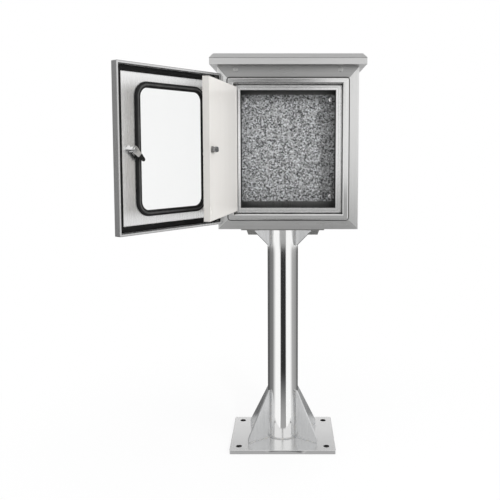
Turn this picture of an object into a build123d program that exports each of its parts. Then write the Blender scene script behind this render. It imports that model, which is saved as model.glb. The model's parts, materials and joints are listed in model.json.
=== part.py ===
from build123d import *
import os
from math import cos, radians, sin

# Traffic signal controller cabinet on a post, in millimetres
# Origin: centre of the base plate's underside, on the post's axis
# The doors face -Y, +X is to the right and +Z is up

# Regular shapes
hexagon_sides = 6

# Post and its base
plate_length = 385
plate_depth = 300
plate_thickness = 14
plate_corner_radius = 4
plate_edge_chamfer = 1
anchor_hole_radius = 11
anchor_inset_x = 32.5
anchor_inset_y = 35
post_radius = 57
post_wall = 3
cable_hole_radius = 45
box_bottom_height = 813
gusset_thickness = 6
gusset_azimuth = 35
base_gusset_reach = 98
base_gusset_height = 180
base_gusset_toe = 16
base_gusset_top_land = 8
head_gusset_reach = 66
head_gusset_height = 62
head_gusset_land = 7

# Saddle between the post and the box
saddle_thickness = 6
saddle_length = 300
saddle_front_depth = 84
saddle_rear_depth = 90
saddle_drop = 44
saddle_taper = 16
saddle_bolt_x = 120
saddle_bolt_y = 40
bolt_radius = 4
bolt_play = 0.4
bolt_head_radius = 7.2
bolt_head_height = 5.3
nut_height = 6.5
thread_end = 4

# Cable entry at the foot of the box
grommet_bore_radius = 24
grommet_hole_radius = 30
grommet_flange_radius = 35
grommet_flange_height = 3
grommet_edge_chamfer = 1

# Box
box_offset_x = 20
box_width = 500
box_depth = 200
box_height = 577
sheet = 1.5
box_corner_radius = 2

# Rain gutter that is folded out of the box's face
gutter_side_margin = 36.5
gutter_bottom_margin = 34.5
gutter_top_margin = 41.5
gutter_radius = 8
gutter_rise = 13
channel_width = 4
channel_depth = 6
sealing_strip = 20
strip_return = 8
strip_bend_radius = 2.4

# Canopy roof
canopy_side_overhang = 22
canopy_front_overhang = 50
canopy_back_overhang = 10
canopy_fascia = 23
canopy_ridge_rise = 32
canopy_flange_seat = 25
canopy_bolt_inset_x = 24
canopy_bolt_inset_y = 13.5

# Round plugs above the door
plug_radius = 9
plug_height = 2.5
plug_edge_chamfer = 1.2
plug_inset_x = 65
plug_below_top = 12

# Inner frame with the raised seat of the inner door
frame_setback = 34.5
cutout_side_step = 42.5
cutout_end_step = 39.5
rim_width = 9
rim_rise = 8
frame_corner_radius = 4

# Mounting plate and what holds it
mount_plate_side_margin = 74
mount_plate_bottom_margin = 87
mount_plate_top_margin = 86
mount_plate_back_gap = 24
mount_plate_thickness = 2
mount_plate_radius = 3
stud_inset_x = 14.5
stud_inset_z = 18.5
spacer_radius = 7
washer_radius = 8
washer_height = 1.6
stud_hole_play = 0.5
stud_beyond_nut = 3

# Earthing stud
earth_stud_radius = 3
earth_stud_length = 22
earth_nut_radius = 6
earth_nut_height = 5
earth_stud_setback = 120
earth_stud_height = 40

# Outer door
outer_open_angle = 127
outer_axis_y = -6
door_side_gap = 8
door_side_overlap = 12.5
door_end_overlap = 13.5
door_depth = 22
door_face_gap = 2
door_lip = 7
door_corner_radius = 3
gasket_inset = 9
gasket_width = 18
gasket_play = 0.3
gasket_radius = 9

# Window in the outer door, set toward the hinges to clear the lock
window_hinge_margin = 60
window_lock_margin = 84
window_end_margin = 52
seal_band = 20
seal_outer_radius = 50
seal_skin_grip = 8
seal_pane_grip = 6
seal_inside = 8
seal_outside = 4
pane_thickness = 4

# Hinges of the outer door
hinge_pin_radius = 2
hinge_knuckle_radius = 4
hinge_knuckle_height = 14
hinge_play = 0.05
hinge_end_gap = 0.3
hinge_from_door_end = 10
hinge_ear_height = 3
hinge_base_thickness = 1.5
hinge_pin_head_radius = 3.2
hinge_pin_head_height = 1.2
hinge_web = 5

# Lock of the outer door
outer_lock_inset = 66
lock_barrel_radius = 9
lock_head_radius = 14
lock_head_height = 4
lock_head_chamfer = 1.5
lock_nut_size = 24
lock_nut_height = 6
plug_core_radius = 5
plug_play = 0.05
plug_square = 7
cam_play = 0.05
key_slot_length = 6
key_slot_width = 1.2
key_slot_depth = 3
outer_cam_gap = 1
outer_cam_thickness = 2.5
outer_cam_length = 50
outer_cam_hub_radius = 11
outer_cam_tip_radius = 5
outer_cam_rest = 224
cam_cap_wall = 0.7
cam_cap_length = 24
cam_screw_head_radius = 5.5
cam_screw_head_height = 2.5
cam_screw_radius = 2
cam_screw_depth = 8
lock_end_gap = 0.3

# Inner door
inner_open_angle = 99.06
inner_axis_y = 22
inner_side_gap = 3.5
inner_overlap = 10
inner_flange = 20
inner_seat_gap = 1.5
inner_flange_start = 45
inner_knuckle_radius = 3.4
inner_knuckle_height = 12
inner_pin_radius = 1.8
inner_ear_height = 3
inner_web = 3
inner_foot_height = 14
inner_foot_thickness = 1.5
inner_ear_radius = 4

# Lock of the inner door
inner_lock_inset = 24
inner_barrel_radius = 8
inner_head_radius = 11
inner_head_height = 5
inner_nut_size = 19
inner_nut_height = 5
inner_core_radius = 4.2
inner_square = 6
inner_cam_gap = 1
inner_cam_thickness = 2.5
inner_cam_length = 30
inner_cam_hub_radius = 9
inner_cam_tip_radius = 8
inner_cam_rest = 180
inner_screw_head_radius = 4.5
inner_screw_head_height = 2.2

# Sizes and places that follow from the ones above
anchor_spacing_x = plate_length - 2 * anchor_inset_x
anchor_spacing_y = plate_depth - 2 * anchor_inset_y
saddle_top = box_bottom_height
post_top = saddle_top - saddle_thickness
box_half = box_width / 2
gusset_inner = post_radius - post_wall
gutter_width = box_width - 2 * gutter_side_margin
gutter_height = box_height - gutter_bottom_margin - gutter_top_margin
gutter_middle_height = gutter_bottom_margin + gutter_height / 2
strip_y = -gutter_rise
plug_spacing = box_width - 2 * plug_inset_x
cutout_width = gutter_width - 2 * cutout_side_step
cutout_height = gutter_height - 2 * cutout_end_step
rim_y = frame_setback - rim_rise
mount_plate_width = box_width - 2 * mount_plate_side_margin
mount_plate_height = box_height - mount_plate_bottom_margin - mount_plate_top_margin
mount_plate_middle_height = mount_plate_bottom_margin + mount_plate_height / 2
mount_plate_back = box_depth - mount_plate_back_gap
mount_plate_setback = mount_plate_back - mount_plate_thickness
stud_spacing_x = mount_plate_width - 2 * stud_inset_x
stud_spacing_z = mount_plate_height - 2 * stud_inset_z
door_width = gutter_width + 2 * door_side_overlap
door_height = gutter_height + 2 * door_end_overlap
outer_axis_x = -door_width / 2 - door_side_gap
outer_lock_x = door_side_gap + door_width - outer_lock_inset
seal_width = door_width - window_hinge_margin - window_lock_margin
seal_height = door_height - 2 * window_end_margin
window_centre_x = door_side_gap + window_hinge_margin + seal_width / 2
inner_width = cutout_width + 2 * inner_overlap
inner_height = cutout_height + 2 * inner_overlap
inner_axis_x = -inner_width / 2 - inner_side_gap
inner_lock_x = inner_side_gap + inner_width - inner_lock_inset
hinge_centre_up = gutter_middle_height + door_height / 2 - hinge_from_door_end - hinge_knuckle_height / 2
hinge_centre_down = gutter_middle_height - door_height / 2 + hinge_from_door_end + hinge_knuckle_height / 2

# Frames: the box's own frame lies at the foot of its face, on its middle line
box_frame = Location((box_offset_x, -box_depth / 2, box_bottom_height))
outer_frame = box_frame * Location((outer_axis_x, outer_axis_y, 0), (0, 0, -outer_open_angle))
inner_frame_axes = box_frame * Location((inner_axis_x, inner_axis_y, 0), (0, 0, -inner_open_angle))


def facing_front(frame, x, y, z):
    """Sketch plane at a point of a frame, whose normal is the frame's -Y."""
    return Plane(frame * Plane(origin=(x, y, z), x_dir=(1, 0, 0), z_dir=(0, -1, 0)).location)


def facing_up(frame, x, y, z):
    """Sketch plane at a point of a frame, whose normal is +Z."""
    return Plane(frame * Location((x, y, z)))


def facing_right(frame, x, y, z):
    """Sketch plane at a point of a frame, whose normal is the frame's +X."""
    return Plane(frame * Plane(origin=(x, y, z), x_dir=(0, 1, 0), z_dir=(1, 0, 0)).location)


def turned(plane, angle):
    """The same sketch plane, turned about its normal."""
    return Plane(plane.location * Location((0, 0, 0), (0, 0, angle)))


def finish(piece, name):
    """Label a finished piece and write it to its own file."""
    piece.part.label = name
    export_step(piece.part, f"parts/{name}.step")


os.makedirs("parts", exist_ok=True)

# Base plate with its anchor holes and the cable hole
with BuildPart() as base_plate:
    with BuildSketch():
        Rectangle(plate_length, plate_depth)
        fillet(vertices(), plate_corner_radius)
        with GridLocations(anchor_spacing_x, anchor_spacing_y, 2, 2):
            Circle(anchor_hole_radius, mode=Mode.SUBTRACT)
        Circle(cable_hole_radius, mode=Mode.SUBTRACT)
    extrude(amount=plate_thickness)
    chamfer(base_plate.faces().sort_by(Axis.Z)[-1].outer_wire().edges(), plate_edge_chamfer)
finish(base_plate, "base_plate")

# Post
with BuildPart() as post_tube:
    with BuildSketch(Plane.XY.offset(plate_thickness)):
        Circle(post_radius)
        Circle(post_radius - post_wall, mode=Mode.SUBTRACT)
    extrude(amount=post_top - plate_thickness)
finish(post_tube, "post_tube")


def radial_plane(angle):
    """Upright sketch plane through the post's axis, its x pointing out at the angle."""
    outward = Vector(cos(radians(angle)), sin(radians(angle)), 0)
    across = Vector(sin(radians(angle)), -cos(radians(angle)), 0)
    return Plane(origin=(0, 0, 0), x_dir=outward, z_dir=across)


gusset_angles = {
    "rear_right": gusset_azimuth,
    "rear_left": 180 - gusset_azimuth,
    "front_left": 180 + gusset_azimuth,
    "front_right": -gusset_azimuth,
}

# Gussets at the foot of the post
for corner, angle in gusset_angles.items():
    with BuildPart() as base_gusset:
        with BuildSketch(radial_plane(angle)):
            with BuildLine():
                Polyline(
                    (gusset_inner, plate_thickness),
                    (post_radius + base_gusset_reach, plate_thickness),
                    (post_radius + base_gusset_reach, plate_thickness + base_gusset_toe),
                    (post_radius + base_gusset_top_land, plate_thickness + base_gusset_height),
                    (gusset_inner, plate_thickness + base_gusset_height),
                    close=True,
                )
            make_face()
        extrude(amount=gusset_thickness / 2, both=True)
        with BuildSketch(Plane.XY):
            Circle(post_radius)
        extrude(amount=post_top, mode=Mode.SUBTRACT)
    finish(base_gusset, f"base_gusset_{corner}")

# Gussets at the head of the post
for corner, angle in gusset_angles.items():
    with BuildPart() as head_gusset:
        with BuildSketch(radial_plane(angle)):
            with BuildLine():
                Polyline(
                    (gusset_inner, post_top),
                    (post_radius + head_gusset_reach, post_top),
                    (post_radius + head_gusset_reach, post_top - head_gusset_land),
                    (post_radius + head_gusset_land, post_top - head_gusset_height),
                    (gusset_inner, post_top - head_gusset_height),
                    close=True,
                )
            make_face()
        extrude(amount=gusset_thickness / 2, both=True)
        with BuildSketch(Plane.XY):
            Circle(post_radius)
        extrude(amount=post_top, mode=Mode.SUBTRACT)
    finish(head_gusset, f"head_gusset_{corner}")

# Saddle: a flat top with a tapered flange turned down along its back
with BuildPart() as head_saddle:
    with BuildSketch(Plane.XY.offset(post_top)):
        with Locations((0, (saddle_rear_depth - saddle_front_depth) / 2)):
            Rectangle(saddle_length, saddle_front_depth + saddle_rear_depth)
        with GridLocations(2 * saddle_bolt_x, 2 * saddle_bolt_y, 2, 2):
            Circle(bolt_radius + bolt_play, mode=Mode.SUBTRACT)
        Circle(grommet_hole_radius, mode=Mode.SUBTRACT)
    extrude(amount=saddle_thickness)
    with BuildSketch(facing_front(Location(), 0, saddle_rear_depth, 0)):
        with BuildLine():
            Polyline(
                (-saddle_length / 2, saddle_top),
                (saddle_length / 2, saddle_top),
                (saddle_length / 2 - saddle_taper, saddle_top - saddle_drop),
                (-saddle_length / 2 + saddle_taper, saddle_top - saddle_drop),
                close=True,
            )
        make_face()
    extrude(amount=saddle_thickness)
finish(head_saddle, "head_saddle")

box_floor_top = saddle_top + sheet

# Bolts that hold the box on the saddle, with their heads below
with BuildPart() as saddle_bolts:
    with BuildSketch(Plane.XY.offset(post_top - bolt_head_height)):
        with GridLocations(2 * saddle_bolt_x, 2 * saddle_bolt_y, 2, 2):
            RegularPolygon(bolt_head_radius, hexagon_sides)
    extrude(amount=bolt_head_height)
    with BuildSketch(Plane.XY.offset(post_top)):
        with GridLocations(2 * saddle_bolt_x, 2 * saddle_bolt_y, 2, 2):
            Circle(bolt_radius)
    extrude(amount=saddle_thickness + sheet + nut_height + thread_end)
finish(saddle_bolts, "saddle_bolts")

# Nuts of these bolts, on the box's floor
with BuildPart() as saddle_nuts:
    with BuildSketch(Plane.XY.offset(box_floor_top)):
        with GridLocations(2 * saddle_bolt_x, 2 * saddle_bolt_y, 2, 2):
            RegularPolygon(bolt_head_radius, hexagon_sides)
            Circle(bolt_radius + hinge_play, mode=Mode.SUBTRACT)
    extrude(amount=nut_height)
finish(saddle_nuts, "saddle_nuts")

# Rubber grommet in the cable hole of the box's floor
with BuildPart() as cable_grommet:
    with BuildSketch(Plane.XY.offset(post_top)):
        Circle(grommet_hole_radius)
    extrude(amount=saddle_thickness + sheet)
    with BuildSketch(Plane.XY.offset(box_floor_top)):
        Circle(grommet_flange_radius)
    extrude(amount=grommet_flange_height)
    chamfer(cable_grommet.edges().group_by(Axis.Z)[-1], grommet_edge_chamfer)
    with BuildSketch(Plane.XY.offset(post_top)):
        Circle(grommet_bore_radius)
    extrude(amount=saddle_thickness + sheet + grommet_flange_height, mode=Mode.SUBTRACT)
finish(cable_grommet, "cable_grommet")

# Box: one welded shell with its face flange, the folded rain gutter and the channel round it
inner_depth = box_depth - 2 * sheet
channel_back = channel_depth + sheet
channel_radius = gutter_radius + channel_width
channel_outer_width = gutter_width + 2 * (channel_width + sheet)
channel_outer_height = gutter_height + 2 * (channel_width + sheet)
canopy_bolt_spacing_x = box_width - 2 * canopy_bolt_inset_x
canopy_bolt_spacing_y = box_depth - 2 * canopy_bolt_inset_y
with BuildPart() as cabinet_body:
    with BuildSketch(facing_up(box_frame, 0, box_depth / 2, 0)):
        RectangleRounded(box_width, box_depth, box_corner_radius)
    extrude(amount=box_height)
    with BuildSketch(facing_up(box_frame, 0, box_depth / 2, sheet)):
        Rectangle(box_width - 2 * sheet, inner_depth)
    extrude(amount=box_height - 2 * sheet, mode=Mode.SUBTRACT)
    with BuildSketch(facing_front(box_frame, 0, channel_back, gutter_middle_height)):
        RectangleRounded(channel_outer_width, channel_outer_height, channel_radius + sheet)
    extrude(amount=channel_back)
    with BuildSketch(facing_front(box_frame, 0, channel_depth, gutter_middle_height)):
        RectangleRounded(channel_outer_width - 2 * sheet, channel_outer_height - 2 * sheet, channel_radius)
    extrude(amount=channel_depth, mode=Mode.SUBTRACT)
    with BuildSketch(facing_front(box_frame, 0, channel_back, gutter_middle_height)):
        RectangleRounded(gutter_width, gutter_height, gutter_radius)
    extrude(amount=channel_back + gutter_rise)
    fillet(cabinet_body.faces().sort_by(Axis.Y)[0].outer_wire().edges(), strip_bend_radius)
    with BuildSketch(facing_front(box_frame, 0, channel_back, gutter_middle_height)):
        RectangleRounded(gutter_width - 2 * sheet, gutter_height - 2 * sheet, gutter_radius - sheet)
    extrude(amount=channel_back + gutter_rise - sheet, mode=Mode.SUBTRACT)
    with BuildSketch(facing_front(box_frame, 0, strip_y + strip_return, gutter_middle_height)):
        Rectangle(gutter_width - 2 * sealing_strip + 2 * sheet, gutter_height - 2 * sealing_strip + 2 * sheet)
    extrude(amount=strip_return - sheet)
    with BuildSketch(facing_front(box_frame, 0, channel_back, gutter_middle_height)):
        Rectangle(gutter_width - 2 * sealing_strip, gutter_height - 2 * sealing_strip)
    extrude(amount=channel_back + gutter_rise, mode=Mode.SUBTRACT)
    with BuildSketch(Plane.XY.offset(box_bottom_height)):
        with GridLocations(2 * saddle_bolt_x, 2 * saddle_bolt_y, 2, 2):
            Circle(bolt_radius + bolt_play)
        Circle(grommet_hole_radius)
    extrude(amount=sheet, mode=Mode.SUBTRACT)
    with BuildSketch(facing_up(box_frame, 0, box_depth / 2, box_height - sheet)):
        with GridLocations(canopy_bolt_spacing_x, canopy_bolt_spacing_y, 2, 2):
            Circle(bolt_radius + bolt_play)
    extrude(amount=sheet, mode=Mode.SUBTRACT)
finish(cabinet_body, "cabinet_body")

# Canopy roof: a folded gable with a flat flange turned in under its eaves
canopy_width = box_width + 2 * canopy_side_overhang
canopy_depth = box_depth + canopy_front_overhang + canopy_back_overhang
canopy_back = box_depth + canopy_back_overhang
canopy_ridge_y = canopy_back - canopy_depth / 2


def gable_profile(inset):
    """Points of the canopy's end outline, drawn in by the given sheet thickness."""
    front = -canopy_front_overhang
    return [
        (front + inset, box_height + inset),
        (canopy_back - inset, box_height + inset),
        (canopy_back - inset, box_height + canopy_fascia - inset),
        (canopy_ridge_y, box_height + canopy_fascia + canopy_ridge_rise - inset),
        (front + inset, box_height + canopy_fascia - inset),
    ]


with BuildPart() as canopy_roof:
    with BuildSketch(facing_right(box_frame, -canopy_width / 2, 0, 0)):
        with BuildLine():
            Polyline(*gable_profile(0), close=True)
        make_face()
    extrude(amount=canopy_width)
    with BuildSketch(facing_right(box_frame, -canopy_width / 2 + sheet, 0, 0)):
        with BuildLine():
            Polyline(*gable_profile(sheet), close=True)
        make_face()
    extrude(amount=canopy_width - 2 * sheet, mode=Mode.SUBTRACT)
    with BuildSketch(facing_up(box_frame, 0, box_depth / 2, box_height)):
        Rectangle(box_width - 2 * canopy_flange_seat, box_depth - 2 * canopy_flange_seat)
        with GridLocations(canopy_bolt_spacing_x, canopy_bolt_spacing_y, 2, 2):
            Circle(bolt_radius + bolt_play)
    extrude(amount=sheet, mode=Mode.SUBTRACT)
finish(canopy_roof, "canopy_roof")

# Bolts through the canopy's flange, with their heads inside the box
with BuildPart() as canopy_bolts:
    with BuildSketch(facing_up(box_frame, 0, box_depth / 2, box_height - sheet)):
        with GridLocations(canopy_bolt_spacing_x, canopy_bolt_spacing_y, 2, 2):
            RegularPolygon(bolt_head_radius, hexagon_sides)
    extrude(amount=-bolt_head_height)
    with BuildSketch(facing_up(box_frame, 0, box_depth / 2, box_height - sheet)):
        with GridLocations(canopy_bolt_spacing_x, canopy_bolt_spacing_y, 2, 2):
            Circle(bolt_radius)
    extrude(amount=2 * sheet + nut_height + thread_end)
finish(canopy_bolts, "canopy_bolts")

# Nuts of these bolts, on the canopy's flange
with BuildPart() as canopy_nuts:
    with BuildSketch(facing_up(box_frame, 0, box_depth / 2, box_height + sheet)):
        with GridLocations(canopy_bolt_spacing_x, canopy_bolt_spacing_y, 2, 2):
            RegularPolygon(bolt_head_radius, hexagon_sides)
            Circle(bolt_radius + hinge_play, mode=Mode.SUBTRACT)
    extrude(amount=nut_height)
finish(canopy_nuts, "canopy_nuts")

# Round plugs in the face, under the canopy
with BuildPart() as face_plugs:
    with BuildSketch(facing_front(box_frame, 0, 0, box_height - plug_below_top)):
        with Locations((-plug_spacing / 2, 0), (plug_spacing / 2, 0)):
            Circle(plug_radius)
    extrude(amount=plug_height)
    chamfer(face_plugs.edges().group_by(Axis.Y)[0], plug_edge_chamfer)
finish(face_plugs, "face_plugs")

# Inner frame: a bulkhead with a raised seat round its cut-out
rim_outer_width = cutout_width + 2 * rim_width
rim_outer_height = cutout_height + 2 * rim_width
frame_back = frame_setback + sheet
with BuildPart() as inner_frame:
    with BuildSketch(facing_front(box_frame, 0, frame_back, box_height / 2)):
        Rectangle(box_width - 2 * sheet, box_height - 2 * sheet)
    extrude(amount=sheet)
    with BuildSketch(facing_front(box_frame, 0, frame_back, gutter_middle_height)):
        RectangleRounded(rim_outer_width, rim_outer_height, frame_corner_radius)
    extrude(amount=rim_rise + sheet)
    fillet(inner_frame.faces().sort_by(Axis.Y)[0].outer_wire().edges(), sheet / 2)
    with BuildSketch(facing_front(box_frame, 0, frame_back, gutter_middle_height)):
        RectangleRounded(rim_outer_width - 2 * sheet, rim_outer_height - 2 * sheet, frame_corner_radius - sheet)
        RectangleRounded(cutout_width + 2 * sheet, cutout_height + 2 * sheet, sheet, mode=Mode.SUBTRACT)
    extrude(amount=rim_rise, mode=Mode.SUBTRACT)
    with BuildSketch(facing_front(box_frame, 0, frame_back, gutter_middle_height)):
        Rectangle(cutout_width, cutout_height)
    extrude(amount=sheet + rim_rise, mode=Mode.SUBTRACT)
finish(inner_frame, "inner_frame")

# Mounting plate
stud_radius = bolt_radius
with BuildPart() as mounting_plate:
    with BuildSketch(facing_front(box_frame, 0, mount_plate_back, mount_plate_middle_height)):
        RectangleRounded(mount_plate_width, mount_plate_height, mount_plate_radius)
        with GridLocations(stud_spacing_x, stud_spacing_z, 2, 2):
            Circle(stud_radius + stud_hole_play, mode=Mode.SUBTRACT)
    extrude(amount=mount_plate_thickness)
finish(mounting_plate, "mounting_plate")

# Welded studs with the shoulders that the mounting plate rests on
spacer_length = box_depth - sheet - mount_plate_back
stud_reach = mount_plate_thickness + washer_height + nut_height + stud_beyond_nut
with BuildPart() as plate_studs:
    with BuildSketch(facing_front(box_frame, 0, box_depth - sheet, mount_plate_middle_height)):
        with GridLocations(stud_spacing_x, stud_spacing_z, 2, 2):
            Circle(spacer_radius)
    extrude(amount=spacer_length)
    with BuildSketch(facing_front(box_frame, 0, mount_plate_back, mount_plate_middle_height)):
        with GridLocations(stud_spacing_x, stud_spacing_z, 2, 2):
            Circle(stud_radius)
    extrude(amount=stud_reach)
finish(plate_studs, "plate_studs")

# Nuts with their washers on the mounting plate
with BuildPart() as plate_nuts:
    with BuildSketch(facing_front(box_frame, 0, mount_plate_setback, mount_plate_middle_height)):
        with GridLocations(stud_spacing_x, stud_spacing_z, 2, 2):
            Circle(washer_radius)
            Circle(stud_radius + hinge_play, mode=Mode.SUBTRACT)
    extrude(amount=washer_height)
    with BuildSketch(facing_front(box_frame, 0, mount_plate_setback - washer_height, mount_plate_middle_height)):
        with GridLocations(stud_spacing_x, stud_spacing_z, 2, 2):
            RegularPolygon(bolt_head_radius, hexagon_sides)
            Circle(stud_radius + hinge_play, mode=Mode.SUBTRACT)
    extrude(amount=nut_height)
finish(plate_nuts, "plate_nuts")

# Earthing stud with its nut, on the right wall of the box
with BuildPart() as earth_stud:
    with BuildSketch(facing_right(box_frame, box_half - sheet, earth_stud_setback, earth_stud_height)):
        Circle(earth_stud_radius)
    extrude(amount=-earth_stud_length)
    with BuildSketch(facing_right(box_frame, box_half - sheet, earth_stud_setback, earth_stud_height)):
        RegularPolygon(earth_nut_radius, hexagon_sides)
    extrude(amount=-earth_nut_height)
finish(earth_stud, "earth_stud")

# Hinges of the outer door: bracket and pin on the box, knuckle on the door
hinge_heights = {"upper": hinge_centre_up, "lower": hinge_centre_down}
axis_frame = box_frame * Location((outer_axis_x, outer_axis_y, 0))
ear_gap_height = hinge_knuckle_height + 2 * hinge_end_gap
bracket_height = ear_gap_height + 2 * hinge_ear_height
for level, centre in hinge_heights.items():
    with BuildPart() as hinge_bracket:
        with BuildSketch(facing_up(axis_frame, 0, 0, centre - bracket_height / 2)):
            Circle(hinge_knuckle_radius)
            with Locations((0, -outer_axis_y / 2)):
                Rectangle(2 * hinge_knuckle_radius, -outer_axis_y)
        extrude(amount=bracket_height)
        with BuildSketch(facing_up(axis_frame, 0, 0, centre - ear_gap_height / 2)):
            with Locations((0, (-outer_axis_y - hinge_base_thickness - hinge_knuckle_radius) / 2)):
                Rectangle(
                    2 * (hinge_knuckle_radius + hinge_end_gap),
                    -outer_axis_y - hinge_base_thickness + hinge_knuckle_radius,
                )
        extrude(amount=ear_gap_height, mode=Mode.SUBTRACT)
        with Locations(facing_up(axis_frame, 0, 0, centre)):
            Hole(hinge_pin_radius + hinge_play)
    finish(hinge_bracket, f"outer_hinge_bracket_{level}")

    with BuildPart() as hinge_pin:
        with BuildSketch(facing_up(axis_frame, 0, 0, centre - bracket_height / 2)):
            Circle(hinge_pin_radius)
        extrude(amount=bracket_height)
        with BuildSketch(facing_up(axis_frame, 0, 0, centre + bracket_height / 2)):
            Circle(hinge_pin_head_radius)
        extrude(amount=hinge_pin_head_height)
    finish(hinge_pin, f"outer_hinge_pin_{level}")

    with BuildPart() as hinge_knuckle:
        with BuildSketch(facing_up(outer_frame, 0, 0, centre - hinge_knuckle_height / 2)):
            Circle(hinge_knuckle_radius)
            with Locations((door_side_gap / 2, 0)):
                Rectangle(door_side_gap, hinge_web)
            Circle(hinge_pin_radius + hinge_play, mode=Mode.SUBTRACT)
        extrude(amount=hinge_knuckle_height)
    finish(hinge_knuckle, f"outer_hinge_knuckle_{level}")

# Outer door: a folded pan with a lip all round and the window's cut-out
door_centre_x = door_side_gap + door_width / 2
door_back_y = -door_face_gap - outer_axis_y
door_skin_y = door_back_y - door_depth
door_inside_y = door_skin_y + sheet
lock_height = gutter_middle_height
with BuildPart() as outer_door_pan:
    with BuildSketch(facing_front(outer_frame, door_centre_x, door_back_y, gutter_middle_height)):
        RectangleRounded(door_width, door_height, door_corner_radius)
    extrude(amount=door_depth)
    with BuildSketch(facing_front(outer_frame, door_centre_x, door_back_y - sheet, gutter_middle_height)):
        Rectangle(door_width - 2 * sheet, door_height - 2 * sheet)
    extrude(amount=door_depth - 2 * sheet, mode=Mode.SUBTRACT)
    with BuildSketch(facing_front(outer_frame, door_centre_x, door_back_y, gutter_middle_height)):
        Rectangle(door_width - 2 * door_lip, door_height - 2 * door_lip)
    extrude(amount=sheet, mode=Mode.SUBTRACT)
    with BuildSketch(facing_front(outer_frame, window_centre_x, door_inside_y, gutter_middle_height)):
        RectangleRounded(
            seal_width - 2 * seal_skin_grip,
            seal_height - 2 * seal_skin_grip,
            seal_outer_radius - seal_skin_grip,
        )
        with Locations((outer_lock_x - window_centre_x, 0)):
            Circle(lock_barrel_radius + hinge_play)
    extrude(amount=sheet, mode=Mode.SUBTRACT)
finish(outer_door_pan, "outer_door_pan")

# Foam gasket inside the door, which closes on the sealing strip
gasket_thickness = door_depth + door_face_gap - sheet - gutter_rise - gasket_play
gasket_outer_width = door_width - 2 * gasket_inset
gasket_outer_height = door_height - 2 * gasket_inset
with BuildPart() as outer_door_gasket:
    with BuildSketch(
        facing_front(outer_frame, door_centre_x, door_inside_y + gasket_thickness, gutter_middle_height)
    ):
        RectangleRounded(gasket_outer_width, gasket_outer_height, gasket_radius)
        RectangleRounded(
            gasket_outer_width - 2 * gasket_width,
            gasket_outer_height - 2 * gasket_width,
            gasket_radius,
            mode=Mode.SUBTRACT,
        )
    extrude(amount=gasket_thickness)
finish(outer_door_gasket, "outer_door_gasket")

# Rubber glazing seal that grips the door's skin and the pane
seal_back_y = door_inside_y + seal_inside
seal_depth = seal_inside + sheet + seal_outside
pane_y = (door_skin_y + door_inside_y + pane_thickness) / 2
pane_inset = seal_band - seal_pane_grip
with BuildPart() as window_seal:
    with BuildSketch(facing_front(outer_frame, window_centre_x, seal_back_y, gutter_middle_height)):
        RectangleRounded(seal_width, seal_height, seal_outer_radius)
        RectangleRounded(
            seal_width - 2 * seal_band,
            seal_height - 2 * seal_band,
            seal_outer_radius - seal_band,
            mode=Mode.SUBTRACT,
        )
    extrude(amount=seal_depth)
    with BuildSketch(facing_front(outer_frame, window_centre_x, door_inside_y, gutter_middle_height)):
        RectangleRounded(seal_width, seal_height, seal_outer_radius)
        RectangleRounded(
            seal_width - 2 * seal_skin_grip,
            seal_height - 2 * seal_skin_grip,
            seal_outer_radius - seal_skin_grip,
            mode=Mode.SUBTRACT,
        )
    extrude(amount=sheet, mode=Mode.SUBTRACT)
    with BuildSketch(facing_front(outer_frame, window_centre_x, pane_y, gutter_middle_height)):
        RectangleRounded(
            seal_width - 2 * pane_inset,
            seal_height - 2 * pane_inset,
            seal_outer_radius - pane_inset,
        )
    extrude(amount=pane_thickness, mode=Mode.SUBTRACT)
finish(window_seal, "window_seal")

# Clear pane
with BuildPart() as window_pane:
    with BuildSketch(facing_front(outer_frame, window_centre_x, pane_y, gutter_middle_height)):
        RectangleRounded(
            seal_width - 2 * pane_inset,
            seal_height - 2 * pane_inset,
            seal_outer_radius - pane_inset,
        )
    extrude(amount=pane_thickness)
finish(window_pane, "window_pane")


def lock_housing(frame, x, skin_front, barrel_end, barrel_radius, head_radius, head_height, core_radius):
    """Threaded lock barrel with its round head in front of the door's skin."""
    with BuildPart() as housing:
        with BuildSketch(facing_front(frame, x, skin_front, lock_height)):
            Circle(head_radius)
        extrude(amount=head_height)
        front_face = housing.faces().sort_by(Axis(frame.position, facing_front(frame, 0, 0, 0).z_dir))[-1]
        chamfer(front_face.edges(), lock_head_chamfer)
        with BuildSketch(facing_front(frame, x, barrel_end, lock_height)):
            Circle(barrel_radius)
        extrude(amount=barrel_end - skin_front)
        with BuildSketch(facing_front(frame, x, barrel_end, lock_height)):
            Circle(core_radius + plug_play)
        extrude(amount=barrel_end - skin_front + head_height, mode=Mode.SUBTRACT)
    return housing


def lock_nut(frame, x, inside, size, height, barrel_radius):
    """Flat hexagon nut on the lock barrel, behind the door's skin."""
    with BuildPart() as nut:
        with BuildSketch(facing_front(frame, x, inside + height, lock_height)):
            RegularPolygon(size / 2, hexagon_sides, major_radius=False)
            Circle(barrel_radius + hinge_play, mode=Mode.SUBTRACT)
        extrude(amount=height)
    return nut


def lock_core(frame, x, front, cam_front, cam_thickness, core_radius, square, turn):
    """Turning core with a key slot in front and a square end that carries the cam."""
    with BuildPart() as core:
        with BuildSketch(facing_front(frame, x, cam_front, lock_height)):
            Circle(core_radius)
        extrude(amount=cam_front - front)
        with BuildSketch(facing_front(frame, x, cam_front + cam_thickness, lock_height)):
            Rectangle(square, square, rotation=turn)
        extrude(amount=cam_thickness)
        with BuildSketch(facing_front(frame, x, front + key_slot_depth, lock_height)):
            Rectangle(key_slot_length, key_slot_width, rotation=turn)
        extrude(amount=key_slot_depth, mode=Mode.SUBTRACT)
        with BuildSketch(facing_front(frame, x, cam_front + cam_thickness, lock_height)):
            Circle(cam_screw_radius + cam_play)
        extrude(amount=cam_screw_depth, mode=Mode.SUBTRACT)
    return core


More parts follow.
